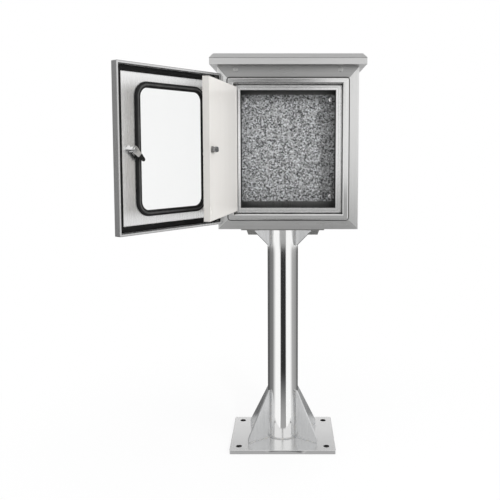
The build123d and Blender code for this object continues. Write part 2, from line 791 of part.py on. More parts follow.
def lock_cam(frame, x, cam_back, thickness, length, hub_radius, tip_radius, square, turn):
    """Flat cam that tapers from its hub to a rounded tip, turned to its rest angle."""
    with BuildPart() as cam:
        with BuildSketch(turned(facing_front(frame, x, cam_back, lock_height), turn)):
            Circle(hub_radius)
            with Locations((length - tip_radius, 0)):
                Circle(tip_radius)
            make_hull()
            Rectangle(square + 2 * cam_play, square + 2 * cam_play, mode=Mode.SUBTRACT)
        extrude(amount=thickness)
    return cam


def cam_screw(frame, x, cam_back, head_radius, head_height):
    """Screw that holds the cam on the core's square end."""
    with BuildPart() as screw:
        with BuildSketch(facing_front(frame, x, cam_back + head_height, lock_height)):
            Circle(head_radius)
        extrude(amount=head_height)
        with BuildSketch(facing_front(frame, x, cam_back, lock_height)):
            Circle(cam_screw_radius)
        extrude(amount=cam_screw_depth)
    return screw


# Lock of the outer door: its cam turns behind the gutter's folded return
outer_cam_front = strip_y + strip_return + outer_cam_gap - outer_axis_y
outer_cam_back = outer_cam_front + outer_cam_thickness
outer_lock_housing = lock_housing(
    outer_frame,
    outer_lock_x,
    door_skin_y,
    outer_cam_front - lock_end_gap,
    lock_barrel_radius,
    lock_head_radius,
    lock_head_height,
    plug_core_radius,
)
finish(outer_lock_housing, "outer_lock_housing")

outer_lock_nut = lock_nut(
    outer_frame, outer_lock_x, door_inside_y, lock_nut_size, lock_nut_height, lock_barrel_radius
)
finish(outer_lock_nut, "outer_lock_nut")

outer_lock_core = lock_core(
    outer_frame,
    outer_lock_x,
    door_skin_y - lock_head_height,
    outer_cam_front,
    outer_cam_thickness,
    plug_core_radius,
    plug_square,
    outer_cam_rest,
)
finish(outer_lock_core, "outer_lock_core")

outer_lock_cam = lock_cam(
    outer_frame,
    outer_lock_x,
    outer_cam_back,
    outer_cam_thickness,
    outer_cam_length,
    outer_cam_hub_radius,
    outer_cam_tip_radius,
    plug_square,
    outer_cam_rest,
)
finish(outer_lock_cam, "outer_lock_cam")

outer_cam_screw = cam_screw(
    outer_frame, outer_lock_x, outer_cam_back, cam_screw_head_radius, cam_screw_head_height
)
finish(outer_cam_screw, "outer_cam_screw")

# Rubber cap on the end of the outer cam, hollow where the cam fills it
cam_plane = turned(facing_front(outer_frame, outer_lock_x, outer_cam_back, lock_height), outer_cam_rest)
cam_tip_distance = outer_cam_length - outer_cam_tip_radius
with BuildPart() as outer_cam_cap:
    with BuildSketch(cam_plane.offset(-cam_cap_wall)):
        Circle(outer_cam_hub_radius + cam_cap_wall)
        with Locations((cam_tip_distance, 0)):
            Circle(outer_cam_tip_radius + cam_cap_wall)
        make_hull()
        with Locations((outer_cam_length + cam_cap_wall, 0)):
            Rectangle(
                cam_cap_length,
                2 * (outer_cam_hub_radius + cam_cap_wall),
                align=(Align.MAX, Align.CENTER),
                mode=Mode.INTERSECT,
            )
    extrude(amount=outer_cam_thickness + 2 * cam_cap_wall)
    with BuildSketch(cam_plane):
        Circle(outer_cam_hub_radius)
        with Locations((cam_tip_distance, 0)):
            Circle(outer_cam_tip_radius)
        make_hull()
    extrude(amount=outer_cam_thickness, mode=Mode.SUBTRACT)
finish(outer_cam_cap, "outer_cam_cap")

# Inner door: a flat sheet with flanges turned forward, cut back beside the hinge
inner_centre_x = inner_side_gap + inner_width / 2
inner_back_y = rim_y - inner_seat_gap - inner_axis_y
inner_skin_y = inner_back_y - sheet
with BuildPart() as inner_door_panel:
    with BuildSketch(facing_front(inner_frame_axes, inner_centre_x, inner_back_y, gutter_middle_height)):
        Rectangle(inner_width, inner_height)
    extrude(amount=inner_flange)
    with BuildSketch(facing_front(inner_frame_axes, inner_centre_x, inner_skin_y, gutter_middle_height)):
        Rectangle(inner_width - 2 * sheet, inner_height - 2 * sheet)
    extrude(amount=inner_flange, mode=Mode.SUBTRACT)
    with BuildSketch(facing_front(inner_frame_axes, 0, inner_skin_y, gutter_middle_height)):
        with Locations(((inner_side_gap + sheet + inner_flange_start) / 2, 0)):
            Rectangle(inner_flange_start - inner_side_gap - sheet, inner_height)
    extrude(amount=inner_flange, mode=Mode.SUBTRACT)
    with BuildSketch(facing_front(inner_frame_axes, inner_lock_x, inner_back_y, lock_height)):
        Circle(inner_barrel_radius + hinge_play)
    extrude(amount=sheet, mode=Mode.SUBTRACT)
finish(inner_door_panel, "inner_door_panel")

# Pivots of the inner door: bracket and pin on the inner frame, knuckle on the door
inner_top = gutter_middle_height + inner_height / 2
inner_bottom = gutter_middle_height - inner_height / 2
pivot_frame = box_frame * Location((inner_axis_x, inner_axis_y, 0))
pivot_reach = frame_setback - inner_axis_y
pivot_levels = {"upper": (inner_top, 1), "lower": (inner_bottom, -1)}
for level, (door_end, up) in pivot_levels.items():
    ear_start = door_end + up * hinge_end_gap
    with BuildPart() as pivot_bracket:
        with BuildSketch(facing_up(pivot_frame, 0, 0, ear_start)):
            Circle(inner_ear_radius)
            with Locations((0, pivot_reach / 2)):
                Rectangle(2 * inner_ear_radius, pivot_reach)
            Circle(inner_pin_radius + hinge_play, mode=Mode.SUBTRACT)
        extrude(amount=up * inner_ear_height)
        with BuildSketch(facing_up(pivot_frame, 0, pivot_reach - inner_foot_thickness / 2, ear_start)):
            Rectangle(2 * inner_ear_radius, inner_foot_thickness)
        extrude(amount=up * inner_foot_height)
    finish(pivot_bracket, f"inner_pivot_bracket_{level}")

    with BuildPart() as pivot_pin:
        with BuildSketch(facing_up(pivot_frame, 0, 0, door_end - up * inner_knuckle_height)):
            Circle(inner_pin_radius)
        extrude(amount=up * (inner_knuckle_height + hinge_end_gap + inner_ear_height))
        with BuildSketch(facing_up(pivot_frame, 0, 0, ear_start + up * inner_ear_height)):
            Circle(hinge_pin_head_radius)
        extrude(amount=up * hinge_pin_head_height)
    finish(pivot_pin, f"inner_pivot_pin_{level}")

    with BuildPart() as pivot_knuckle:
        with BuildSketch(facing_up(inner_frame_axes, 0, 0, door_end)):
            Circle(inner_knuckle_radius)
            with Locations((inner_side_gap / 2, 0)):
                Rectangle(inner_side_gap, inner_web)
            Circle(inner_pin_radius + hinge_play, mode=Mode.SUBTRACT)
        extrude(amount=-up * inner_knuckle_height)
    finish(pivot_knuckle, f"inner_knuckle_{level}")

# Lock of the inner door: its cam turns behind the bulkhead
inner_cam_front = frame_back + inner_cam_gap - inner_axis_y
inner_cam_back = inner_cam_front + inner_cam_thickness
inner_lock_housing = lock_housing(
    inner_frame_axes,
    inner_lock_x,
    inner_skin_y,
    inner_cam_front - lock_end_gap,
    inner_barrel_radius,
    inner_head_radius,
    inner_head_height,
    inner_core_radius,
)
finish(inner_lock_housing, "inner_lock_housing")

inner_lock_nut = lock_nut(
    inner_frame_axes, inner_lock_x, inner_back_y, inner_nut_size, inner_nut_height, inner_barrel_radius
)
finish(inner_lock_nut, "inner_lock_nut")

inner_lock_core = lock_core(
    inner_frame_axes,
    inner_lock_x,
    inner_skin_y - inner_head_height,
    inner_cam_front,
    inner_cam_thickness,
    inner_core_radius,
    inner_square,
    inner_cam_rest,
)
finish(inner_lock_core, "inner_lock_core")

inner_lock_cam = lock_cam(
    inner_frame_axes,
    inner_lock_x,
    inner_cam_back,
    inner_cam_thickness,
    inner_cam_length,
    inner_cam_hub_radius,
    inner_cam_tip_radius,
    inner_square,
    inner_cam_rest,
)
finish(inner_lock_cam, "inner_lock_cam")

inner_cam_screw = cam_screw(
    inner_frame_axes, inner_lock_x, inner_cam_back, inner_screw_head_radius, inner_screw_head_height
)
finish(inner_cam_screw, "inner_cam_screw")
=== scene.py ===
"""Looks of a traffic signal controller cabinet on its post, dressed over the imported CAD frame."""

import json
import logging
import math
from dataclasses import dataclass, field
from enum import Enum
from typing import Callable, Iterable, Sequence

import bmesh
import bpy
from mathutils import Matrix, Vector

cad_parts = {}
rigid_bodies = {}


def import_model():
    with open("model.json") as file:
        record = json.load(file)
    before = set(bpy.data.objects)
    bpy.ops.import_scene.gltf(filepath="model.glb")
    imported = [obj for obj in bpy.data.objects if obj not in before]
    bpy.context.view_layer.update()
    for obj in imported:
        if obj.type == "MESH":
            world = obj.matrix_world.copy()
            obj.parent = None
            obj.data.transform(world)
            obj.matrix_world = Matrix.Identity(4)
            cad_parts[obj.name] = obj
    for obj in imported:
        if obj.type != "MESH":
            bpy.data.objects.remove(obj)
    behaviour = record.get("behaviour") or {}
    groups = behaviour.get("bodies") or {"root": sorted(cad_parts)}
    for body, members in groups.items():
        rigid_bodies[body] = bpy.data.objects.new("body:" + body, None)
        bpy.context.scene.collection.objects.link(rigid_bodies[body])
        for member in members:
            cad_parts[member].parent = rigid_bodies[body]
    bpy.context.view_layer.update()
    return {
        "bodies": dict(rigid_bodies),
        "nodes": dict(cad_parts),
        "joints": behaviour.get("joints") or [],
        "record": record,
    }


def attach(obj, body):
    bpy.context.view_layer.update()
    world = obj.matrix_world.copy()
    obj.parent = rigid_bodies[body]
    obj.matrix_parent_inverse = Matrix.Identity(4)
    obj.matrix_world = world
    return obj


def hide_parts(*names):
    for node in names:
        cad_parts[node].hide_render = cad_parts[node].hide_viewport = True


LOG = logging.getLogger("cabinet")
MM = 0.001
# A face that lies this near to a surface, in metres, counts as part of it.
SKIN = 0.0004
Colour = tuple[float, float, float]
Triple = tuple[float, float, float]
Pair = tuple[float, float]
Course = float | Callable[[float], float]
Values = dict[str | int, object]
Material = bpy.types.Material
# The signs of four corners, in order round a middle.
QUARTERS = ((-1, -1), (1, -1), (1, 1), (-1, 1))


class Grain(Enum):
    """Direction of the brush lines on a sheet."""

    UPRIGHT = "upright"
    LEVEL = "level"


class Facing(Enum):
    """Side of its frame that a fastener points to, as a unit vector."""

    FRONT = (0.0, -1.0, 0.0)
    UP = (0.0, 0.0, 1.0)


class Kind(Enum):
    """Kind of value that a geometry rule takes by name."""

    NUMBER = "NodeSocketFloat"
    VECTOR = "NodeSocketVector"
    PIECE = "NodeSocketObject"
    MATERIAL = "NodeSocketMaterial"


@dataclass(frozen=True)
class Frame:
    """A frame on the cabinet: its origin in metres and its turn about the upright axis."""

    origin: Triple = (0.0, 0.0, 0.0)
    turn: float = 0.0

    def point(self, x: float, y: float, z: float) -> Vector:
        """Return the place of a point that is given in this frame."""
        return Matrix.Translation(self.origin) @ Matrix.Rotation(self.turn, 4, "Z") @ Vector((x, y, z))


# Node graphs


class Sock:
    """An output socket that takes part in arithmetic by adding Math nodes."""

    def __init__(self, graph: "Graph", socket: bpy.types.NodeSocket | None) -> None:
        """Keep the graph and the socket."""
        self.graph = graph
        self.socket = socket

    def other(self, key: str | int) -> "Sock":
        """Return another output of the same node."""
        return Sock(self.graph, find_socket(self.socket.node.outputs, key))

    def math(self, operation: str, *values: "Sock | float") -> "Sock":
        """Add a Math node that works on this socket and the other values."""
        inputs = dict(enumerate((self, *values)))
        return self.graph.node("ShaderNodeMath", {"operation": operation}, inputs)

    def __add__(self, other: "Sock | float") -> "Sock":
        """Sum."""
        return self.math("ADD", other)

    __radd__ = __add__

    def __sub__(self, other: "Sock | float") -> "Sock":
        """Difference."""
        return self.math("SUBTRACT", other)

    def __rsub__(self, other: float) -> "Sock":
        """Difference from a number."""
        return self.graph.node("ShaderNodeMath", {"operation": "SUBTRACT"}, {0: other, 1: self})

    def __mul__(self, other: "Sock | float") -> "Sock":
        """Product."""
        return self.math("MULTIPLY", other)

    __rmul__ = __mul__

    def __truediv__(self, other: "Sock | float") -> "Sock":
        """Quotient."""
        return self.math("DIVIDE", other)

    def __abs__(self) -> "Sock":
        """Size without its sign."""
        return self.math("ABSOLUTE")

    def __lt__(self, other: "Sock | float") -> "Sock":
        """1 where this is less than the other value."""
        return self.math("LESS_THAN", other)

    def __gt__(self, other: "Sock | float") -> "Sock":
        """1 where this is greater than the other value."""
        return self.math("GREATER_THAN", other)

    def least(self, other: "Sock | float") -> "Sock":
        """The smaller of two values."""
        return self.math("MINIMUM", other)

    def most(self, other: "Sock | float") -> "Sock":
        """The larger of two values."""
        return self.math("MAXIMUM", other)

    def pick(self, inside: "Sock | float", outside: "Sock | float" = 1.0) -> "Sock":
        """One value where this mask is 1 and the other where it is 0."""
        return self * (inside - outside) + outside

    def ramp(self, low: float, high: float, start: float = 0.0, end: float = 1.0) -> "Sock":
        """Map low..high to start..end with soft ends."""
        values = {0: self, 1: low, 2: high, 3: start, 4: end}
        return self.graph.node("ShaderNodeMapRange", {"interpolation_type": "SMOOTHSTEP"}, values)


def find_socket(sockets: Iterable[bpy.types.NodeSocket], key: str | int) -> bpy.types.NodeSocket:
    """Find a socket by its place, identifier or shown name.

    Args:
        sockets: A node's inputs or outputs.
        key: Index, identifier or name.

    Returns:
        The socket.
    """
    listed = list(sockets)
    if isinstance(key, int):
        return listed[key]
    for socket in listed:
        if socket.identifier == key:
            return socket
    return next(s for s in listed if s.name == key and s.enabled)


class Graph:
    """A node tree that is filled by one generic method."""

    def __init__(self, tree: bpy.types.NodeTree) -> None:
        """Start with an empty tree."""
        self.tree = tree
        tree.nodes.clear()

    def node(
        self,
        kind: str,
        settings: dict[str, object] | None = None,
        values: Values | None = None,
        out: str | int = 0,
    ) -> Sock:
        """Add a node.

        Args:
            kind: The node's type name.
            settings: Attributes that are set first.
            values: Constants or sockets for its inputs.
            out: The output that is returned.

        Returns:
            The chosen output.
        """
        made = self.tree.nodes.new(kind)
        for key, value in (settings or {}).items():
            setattr(made, key, value)
        for key, value in (values or {}).items():
            target = find_socket(made.inputs, key)
            if isinstance(value, Sock):
                self.tree.links.new(value.socket, target)
            else:
                target.default_value = value
        if not len(made.outputs):
            return Sock(self, None)
        return Sock(self, find_socket(made.outputs, out))

    def mix(self, factor: Sock | float, first: Sock | Colour, second: Sock | Colour) -> Sock:
        """Mix two colours.

        Args:
            factor: Share of the second colour.
            first: A socket or a plain colour.
            second: A socket or a plain colour.

        Returns:
            The mixed colour.
        """
        values = {"Factor_Float": factor, "A_Color": first, "B_Color": second}
        for key in ("A_Color", "B_Color"):
            if isinstance(values[key], tuple):
                values[key] = (*values[key], 1.0)
        return self.node("ShaderNodeMix", {"data_type": "RGBA"}, values, "Result_Color")

    def grey(self, level: Sock) -> Sock:
        """Return a grey of a level as a colour."""
        return self.node("ShaderNodeCombineXYZ", None, {0: level, 1: level, 2: level})

    def times(self, first: Sock, second: Sock | Triple) -> Sock:
        """Multiply two vectors or colours."""
        return self.node("ShaderNodeVectorMath", {"operation": "MULTIPLY"}, {0: first, 1: second})

    def blend(self, factor: Sock, first: Colour, second: Colour, level: Sock) -> Sock:
        """Mix two colours and multiply them by a grey level."""
        return self.times(self.mix(factor, first, second), self.grey(level))

    def vary(self, level: Sock | float, *parts: tuple[Sock, float]) -> Sock:
        """Let a level swing with patterns that lie between 0 and 1.

        Args:
            level: The level in the middle.
            parts: Each pattern with the whole width of its swing.

        Returns:
            The varied level.
        """
        for pattern, swing in parts:
            level = (pattern - 0.5) * swing + level
        return level

    def place(self, frame: Frame = Frame()) -> Sock:
        """Give Object coordinates in a frame.

        Args:
            frame: The frame, or the object's own.

        Returns:
            The vector output.
        """
        coords = self.node("ShaderNodeTexCoord", out="Object")
        if frame == Frame():
            return coords
        values = {"Vector": coords, "Location": frame.origin, "Rotation": (0.0, 0.0, frame.turn)}
        return self.node("ShaderNodeMapping", {"vector_type": "TEXTURE"}, values)

    def cells(self, vector: Sock, scale: float, feature: str = "F1", out: str = "Distance") -> Sock:
        """Give a cell pattern's value or colour."""
        settings = {"feature": feature, "voronoi_dimensions": "3D"}
        return self.node("ShaderNodeTexVoronoi", settings, {"Vector": vector, "Scale": scale}, out)

    def split(self, vector: Sock) -> tuple[Sock, Sock, Sock]:
        """Return a vector's three parts."""
        first = self.node("ShaderNodeSeparateXYZ", None, {0: vector})
        return first, first.other(1), first.other(2)

    def bump(self, height: Sock, strength: float, distance: float, under: Sock | None = None) -> Sock:
        """Turn a height into a normal.

        Args:
            height: Height between 0 and 1.
            strength: Strength of the effect.
            distance: Real height in metres.
            under: Normal that this one is added to.

        Returns:
            The normal.
        """
        values: Values = {"Height": height, "Strength": strength, "Distance": distance}
        if under is not None:
            values["Normal"] = under
        return self.node("ShaderNodeBump", None, values)


def new_material(name: str) -> tuple[Material, Graph]:
    """Make a material with an empty graph.

    Args:
        name: The material's name.

    Returns:
        The material and its graph.
    """
    material = bpy.data.materials.new(name)
    material.use_nodes = True
    return material, Graph(material.node_tree)


# Finishes


def darker(tone: Colour, share: float) -> Colour:
    """Return a tone at a share of its brightness."""
    return tuple(part * share for part in tone)


@dataclass(frozen=True)
class Mottle:
    """A noise pattern: spots per metre along each axis, octaves and the weight of the finer ones.

    Where it has a reach, that part of the noise is spread over 0 to 1.
    """

    scale: Triple
    detail: float = 2.0
    rough: float = 0.5
    reach: Pair | None = None

    def on(self, graph: Graph, place: Sock) -> Sock:
        """Lay the pattern on coordinates in metres.

        Args:
            graph: The graph to fill.
            place: The coordinates.

        Returns:
            A value between 0 and 1.
        """
        stretched = graph.times(place, self.scale)
        values = {"Vector": stretched, "Scale": 1.0, "Detail": self.detail, "Roughness": self.rough}
        noise = graph.node("ShaderNodeTexNoise", None, values)
        return noise.ramp(*self.reach) if self.reach else noise


@dataclass(frozen=True)
class Finish:
    """A surface finish that builds its own material."""

    name: str

    def build(self) -> Material:
        """Build the material with its node graph.

        Returns:
            The material.
        """
        material, graph = new_material(self.name)
        shader = graph.node("ShaderNodeBsdfPrincipled", None, self.paint(graph))
        graph.node("ShaderNodeOutputMaterial", None, {"Surface": shader})
        return material

    def paint(self, graph: Graph) -> Values:
        """Return the values of the shader's sockets."""
        raise NotImplementedError


@dataclass(frozen=True)
class Shade:
    """A region of a sheet with painted shade, whose tone differs from the rest by a factor."""

    factor: float

    def region(self, graph: Graph, place: Sock) -> Sock:
        """Return 1 inside the region and 0 outside."""
        raise NotImplementedError

    def apply(self, graph: Graph, place: Sock, level: Sock) -> Sock:
        """Return the sheet's level with the region's painted shade on it."""
        return level * self.region(graph, place).pick(self.factor)


@dataclass(frozen=True)
class FoldShade(Shade):
    """A bend in a sheet, painted as a thin line of shade at one height."""

    height: float
    half: float = 0.0018

    def region(self, graph: Graph, place: Sock) -> Sock:
        """Return 1 on the bend."""
        return abs(graph.split(place)[2] - self.height) < self.half


@dataclass(frozen=True)
class BoreShade(Shade):
    """Painted shade on the walls of four holes that are mirrored about the sheet's middle."""

    spacing: Pair
    radius: float
    top: float

    def region(self, graph: Graph, place: Sock) -> Sock:
        """Find the walls of the holes.

        Args:
            graph: The graph to fill.
            place: Coordinates on the sheet.

        Returns:
            1 on the walls.
        """
        x, y, z = graph.split(place)
        along = abs(x) - self.spacing[0] / 2
        across = abs(y) - self.spacing[1] / 2
        reach = (along * along + across * across).math("SQRT")
        return (reach < self.radius + SKIN) * (z < self.top - SKIN)


@dataclass(frozen=True)
class EdgeShade(Shade):
    """Painted shade on the cut edges of a rectangular plate that lies level."""

    size: Pair

    def region(self, graph: Graph, place: Sock) -> Sock:
        """Return 1 on the plate's four edges."""
        x, y, _ = graph.split(place)
        return (self.size[0] / 2 - abs(x)).least(self.size[1] / 2 - abs(y)) < SKIN


@dataclass(frozen=True)
class RimShade(Shade):
    """Painted shade on the edge of a door's sheet, from its outline inwards to a depth."""

    middle: Pair
    size: Pair
    depth: float

    def region(self, graph: Graph, place: Sock) -> Sock:
        """Find the rim of the sheet.

        Args:
            graph: The graph to fill.
            place: Coordinates in the door's frame.

        Returns:
            1 within the depth of the outline.
        """
        x, _, z = graph.split(place)
        side = self.size[0] / 2 - abs(x - self.middle[0])
        end = self.size[1] / 2 - abs(z - self.middle[1])
        return side.least(end) < self.depth


@dataclass(frozen=True)
class BrushedSteel(Finish):
    """Stainless sheet with one-way brush lines, faint cloudiness, and painted shade where it has shade
    regions.

    Broad streaks and hair lines are counted per metre across the grain.
    """

    tone: Colour = (0.60, 0.60, 0.595)
    grain: Grain = Grain.UPRIGHT
    rough: float = 0.30
    frame: Frame = Frame()
    contrast: float = 0.10
    shades: tuple[Shade, ...] = ()
    streaks: float = 130.0
    hairs: float = 1500.0
    hair_share: float = 0.8
    line_stretch: float = 70.0
    cloud: Mottle = Mottle((7.0, 7.0, 5.0), 4.0, 0.55)
    cloud_tone: float = 0.95

    def lines(self, graph: Graph, place: Sock, grain: Grain, count: float) -> Sock:
        """Give brush lines along the grain.

        Args:
            graph: The graph to fill.
            place: Coordinates in the sheet's frame.
            grain: Direction of the lines.
            count: Lines per metre across the grain.

        Returns:
            A value between 0 and 1.
        """
        slow = count / self.line_stretch
        scale = (count, count, slow) if grain is Grain.UPRIGHT else (slow, slow, count)
        return Mottle(scale, 3.0, 0.6).on(graph, place)

    def paint(self, graph: Graph) -> Values:
        """Paint the sheet.

        Args:
            graph: The material's graph.

        Returns:
            The values of the shader's sockets.
        """
        place = graph.place(self.frame)
        streak = self.lines(graph, place, self.grain, self.streaks)
        hair = self.lines(graph, place, self.grain, self.hairs)
        cloud = self.cloud.on(graph, place)
        swings = (streak, self.contrast), (hair, self.contrast * self.hair_share), (cloud, 0.10)
        level = graph.vary(1.0, *swings)
        # Painted shade from the sheet's shade regions.
        for shade in self.shades:
            level = shade.apply(graph, place, level)
        return {
            "Base Color": graph.blend(cloud, self.tone, darker(self.tone, self.cloud_tone), level),
            "Metallic": 1.0,
            "Roughness": graph.vary(self.rough, (hair, 0.16), (cloud, 0.10)),
            "Normal": graph.bump(hair, strength=0.16, distance=0.0002),
        }


@dataclass(frozen=True)
class FaceSteel(BrushedSteel):
    """The box's sheet: mitred face flanges with their own brush lines, and a polished gutter in front.

    The frame's origin is the middle of the box's front plane. Margins are the widths of the flanges, and
    gutter_side, gutter_top and gutter_foot are how far the gutter lies from the box's edges. Tones are
    factors on the sheet's own tone. The side and foot flanges carry painted sheen, and the top flange, the
    channel and the box's inside carry painted shade.
    """

    size: Triple = (0.500, 0.200, 0.577)
    side_margin: float = 0.0325
    top_margin: float = 0.0375
    foot_margin: float = 0.0305
    flange_half: float = 0.0012
    seam: float = 0.0005
    seam_blur: float = 2.4
    channel_start: float = 0.0006
    channel_end: float = 0.0076
    channel_inset: float = 0.02
    wall: float = 0.0008
    gutter_side: float = 0.0365
    gutter_top: float = 0.0415
    gutter_foot: float = 0.0345
    gutter_width: float = 0.020
    gutter_rough: float = 0.13
    bend: float = 0.0034
    front_normal: float = -0.7
    face_streaks: float = 90.0
    # The side and foot flange tones are painted sheen, and the top flange tone is painted shade.
    side_painted_sheen: float = 1.38
    top_painted_shade: float = 0.68
    foot_painted_sheen: float = 1.05
    gutter_tone: float = 1.28
    seam_tone: float = 0.65
    # The channel and inside tones are painted shade.
    channel_painted_shade: float = 0.10
    inside_painted_shade: float = 0.36

    def paint(self, graph: Graph) -> Values:
        """Paint the box's one sheet, part by part.

        Args:
            graph: The material's graph.

        Returns:
            The values of the shader's sockets.
        """
        place = graph.place(self.frame)
        x, y, z = graph.split(place)
        width, depth, height = self.size
        side = width / 2 - abs(x)
        rise = height / 2 - abs(z)
        upper = z > 0.0
        end = rise * upper.pick(self.side_margin / self.top_margin, self.side_margin / self.foot_margin)
        across = (end < side) * (y < self.channel_end)

        def crossed(count: float) -> Sock:
            """Lines that run level on the end flanges and upright elsewhere."""
            level = self.lines(graph, place, Grain.LEVEL, count)
            return across.pick(level, self.lines(graph, place, Grain.UPRIGHT, count))

        streak = crossed(self.face_streaks)
        hair = crossed(self.hairs)
        cloud = self.cloud.on(graph, place)
        front = graph.split(graph.node("ShaderNodeNewGeometry", out="Normal"))[1] < self.front_normal
        flange = front * (abs(y) < self.flange_half)
        gutter = y < -self.flange_half
        # Painted shade in the channel round the gutter.
        channel = (y > self.channel_start) * (y < self.channel_end)
        channel = channel * (side > self.channel_inset) * (end > self.channel_inset)
        seam = abs(side - end).ramp(self.seam, self.seam * self.seam_blur, 1.0, 0.0) * flange
        # Painted shade over the box's inside walls and floor.
        inside = (y > self.channel_end) * (y < depth - self.wall) * (side > self.wall) * (rise > self.wall)
        swings = (streak, self.contrast), (hair, self.contrast * self.hair_share), (cloud, 0.12)
        level = graph.vary(1.0, *swings)
        # Painted sheen on the side and foot flanges and painted shade on the top flange.
        end_painted_light = upper.pick(self.top_painted_shade, self.foot_painted_sheen)
        level = level * flange.pick(across.pick(end_painted_light, self.side_painted_sheen))
        level = level * gutter.pick(self.gutter_tone) * seam.pick(self.seam_tone)
        level = level * channel.pick(self.channel_painted_shade) * inside.pick(self.inside_painted_shade)
        rough = graph.vary(self.rough, (hair, 0.14), (cloud, 0.10))
        inwards = (side - self.gutter_side).least(rise - upper.pick(self.gutter_top, self.gutter_foot))
        far_bend = self.gutter_width - self.bend
        roll = gutter * inwards.ramp(0.0, self.bend) * inwards.ramp(far_bend, self.gutter_width, 1.0, 0.0)
        brushed = graph.bump(hair, strength=0.12, distance=0.0002)
        rolled = graph.bump(roll, strength=0.8, distance=0.0012, under=brushed)
        return {
            "Base Color": graph.blend(cloud, self.tone, darker(self.tone, self.cloud_tone), level),
            "Metallic": 1.0,
            "Roughness": rough + seam * 0.2 - gutter * (self.rough - self.gutter_rough),
            "Normal": graph.bump(1 - seam, strength=0.5, distance=0.0004, under=rolled),
        }


@dataclass(frozen=True)
class PolishedSteel(Finish):
    """Mirror polished stainless steel with faint polishing streaks and slow waves in the sheet."""

    tone: Colour = (0.78, 0.78, 0.775)
    rough: float = 0.07
    metal: float = 1.0
    specular: float = 0.5
    wave: float = 0.0006
    frame: Frame = Frame()
    shades: tuple[Shade, ...] = ()
    streak_tone: float = 0.96
    streaks: Mottle = Mottle((60.0, 60.0, 1.2), 3.0, 0.55)
    wipes: Mottle = Mottle((900.0, 900.0, 14.0), 2.0, 0.6)
    smudges: Mottle = Mottle((9.0, 9.0, 6.0), 5.0, 0.6, (0.52, 0.78))
    swells: Mottle = Mottle((7.0, 7.0, 3.0), 1.0, 0.4)

    def paint(self, graph: Graph) -> Values:
        """Paint the polished sheet.

        Args:
            graph: The material's graph.

        Returns:
            The values of the shader's sockets.
        """
        place = graph.place(self.frame)
        streak = self.streaks.on(graph, place)
        wipe = self.wipes.on(graph, place)
        smudge = self.smudges.on(graph, place)
        level = graph.vary(1.0 - smudge * 0.05, (streak, 0.08), (wipe, 0.05))
        # Painted shade from the sheet's shade regions.
        for shade in self.shades:
            level = shade.apply(graph, place, level)
        swell = graph.bump(self.swells.on(graph, place), strength=0.5, distance=self.wave)
        return {
            "Base Color": graph.blend(streak, self.tone, darker(self.tone, self.streak_tone), level),
            "Metallic": self.metal,
            "Roughness": graph.vary(smudge * 0.10 + self.rough, (wipe, 0.05)),
            "Specular IOR Level": self.specular,
            "Normal": graph.bump(wipe, strength=0.05, distance=0.0001, under=swell),
        }


@dataclass(frozen=True)
class Galvanised(Finish):
    """Zinc dipped steel with its crystal spangle, in large and small crystals per metre."""

    tone: Colour = (0.48, 0.485, 0.49)
    blue_tone: Colour = (0.44, 0.45, 0.46)
    large: float = 200.0
    small: float = 430.0
    warp: float = 0.002
    warp_scale: float = 90.0
    level: float = 0.88
    darkest: float = 0.12
    edge_tone: float = 0.88
    ferns: Mottle = Mottle((900.0, 900.0, 120.0))

    def paint(self, graph: Graph) -> Values:
        """Paint the spangle.

        Args:
            graph: The material's graph.

        Returns:
            The values of the shader's sockets.
        """
        place = graph.place()
        values = {"Vector": place, "Scale": self.warp_scale, "Detail": 3.0}
        drift = graph.node("ShaderNodeTexNoise", None, values, "Color")
        values = {0: drift, 1: (self.warp,) * 3, 2: place}
        warped = graph.node("ShaderNodeVectorMath", {"operation": "MULTIPLY_ADD"}, values)
        crystal = graph.split(graph.cells(warped, self.large, out="Color"))[0]
        small = graph.split(graph.cells(warped, self.small, out="Color"))[1]
        edge = graph.cells(warped, self.large, "DISTANCE_TO_EDGE").ramp(0.0, 0.12)
        fern = self.ferns.on(graph, warped)
        grain = graph.vary(self.level, (crystal, 1.7), (small, 1.0))
        grey = graph.vary(grain * edge.pick(1.0, self.edge_tone), (fern, 0.16))
        leaf = graph.bump(fern, strength=0.12, distance=0.0002)
        return {
            "Base Color": graph.blend(crystal, self.tone, self.blue_tone, grey.most(self.darkest)),
            "Metallic": 0.45,
            "Roughness": graph.vary(0.40, (small, 0.22), (crystal, 0.15)),
            "Normal": graph.bump(crystal, strength=0.35, distance=0.0004, under=leaf),
        }


@dataclass(frozen=True)
class BrightPlating(Finish):
    """Bright plated fasteners and lock parts with small tool marks."""

    tone: Colour = (0.60, 0.61, 0.63)
    rough: float = 0.24
    spot_tone: float = 0.88
    spots: Mottle = Mottle((420.0, 420.0, 420.0), 4.0, 0.6)
    tools: Mottle = Mottle((2600.0, 2600.0, 300.0))

    def paint(self, graph: Graph) -> Values:
        """Paint the plating.

        Args:
            graph: The material's graph.

        Returns:
            The values of the shader's sockets.
        """
        place = graph.place()
        spot = self.spots.on(graph, place)
        tool = self.tools.on(graph, place)
        level = graph.vary(1.0, (spot, 0.26), (tool, 0.12))
        return {
            "Base Color": graph.blend(spot, self.tone, darker(self.tone, self.spot_tone), level),
            "Metallic": 1.0,
            "Roughness": graph.vary(self.rough, (tool, 0.14), (spot, 0.16)),
            "Normal": graph.bump(spot, strength=0.12, distance=0.0002),
        }


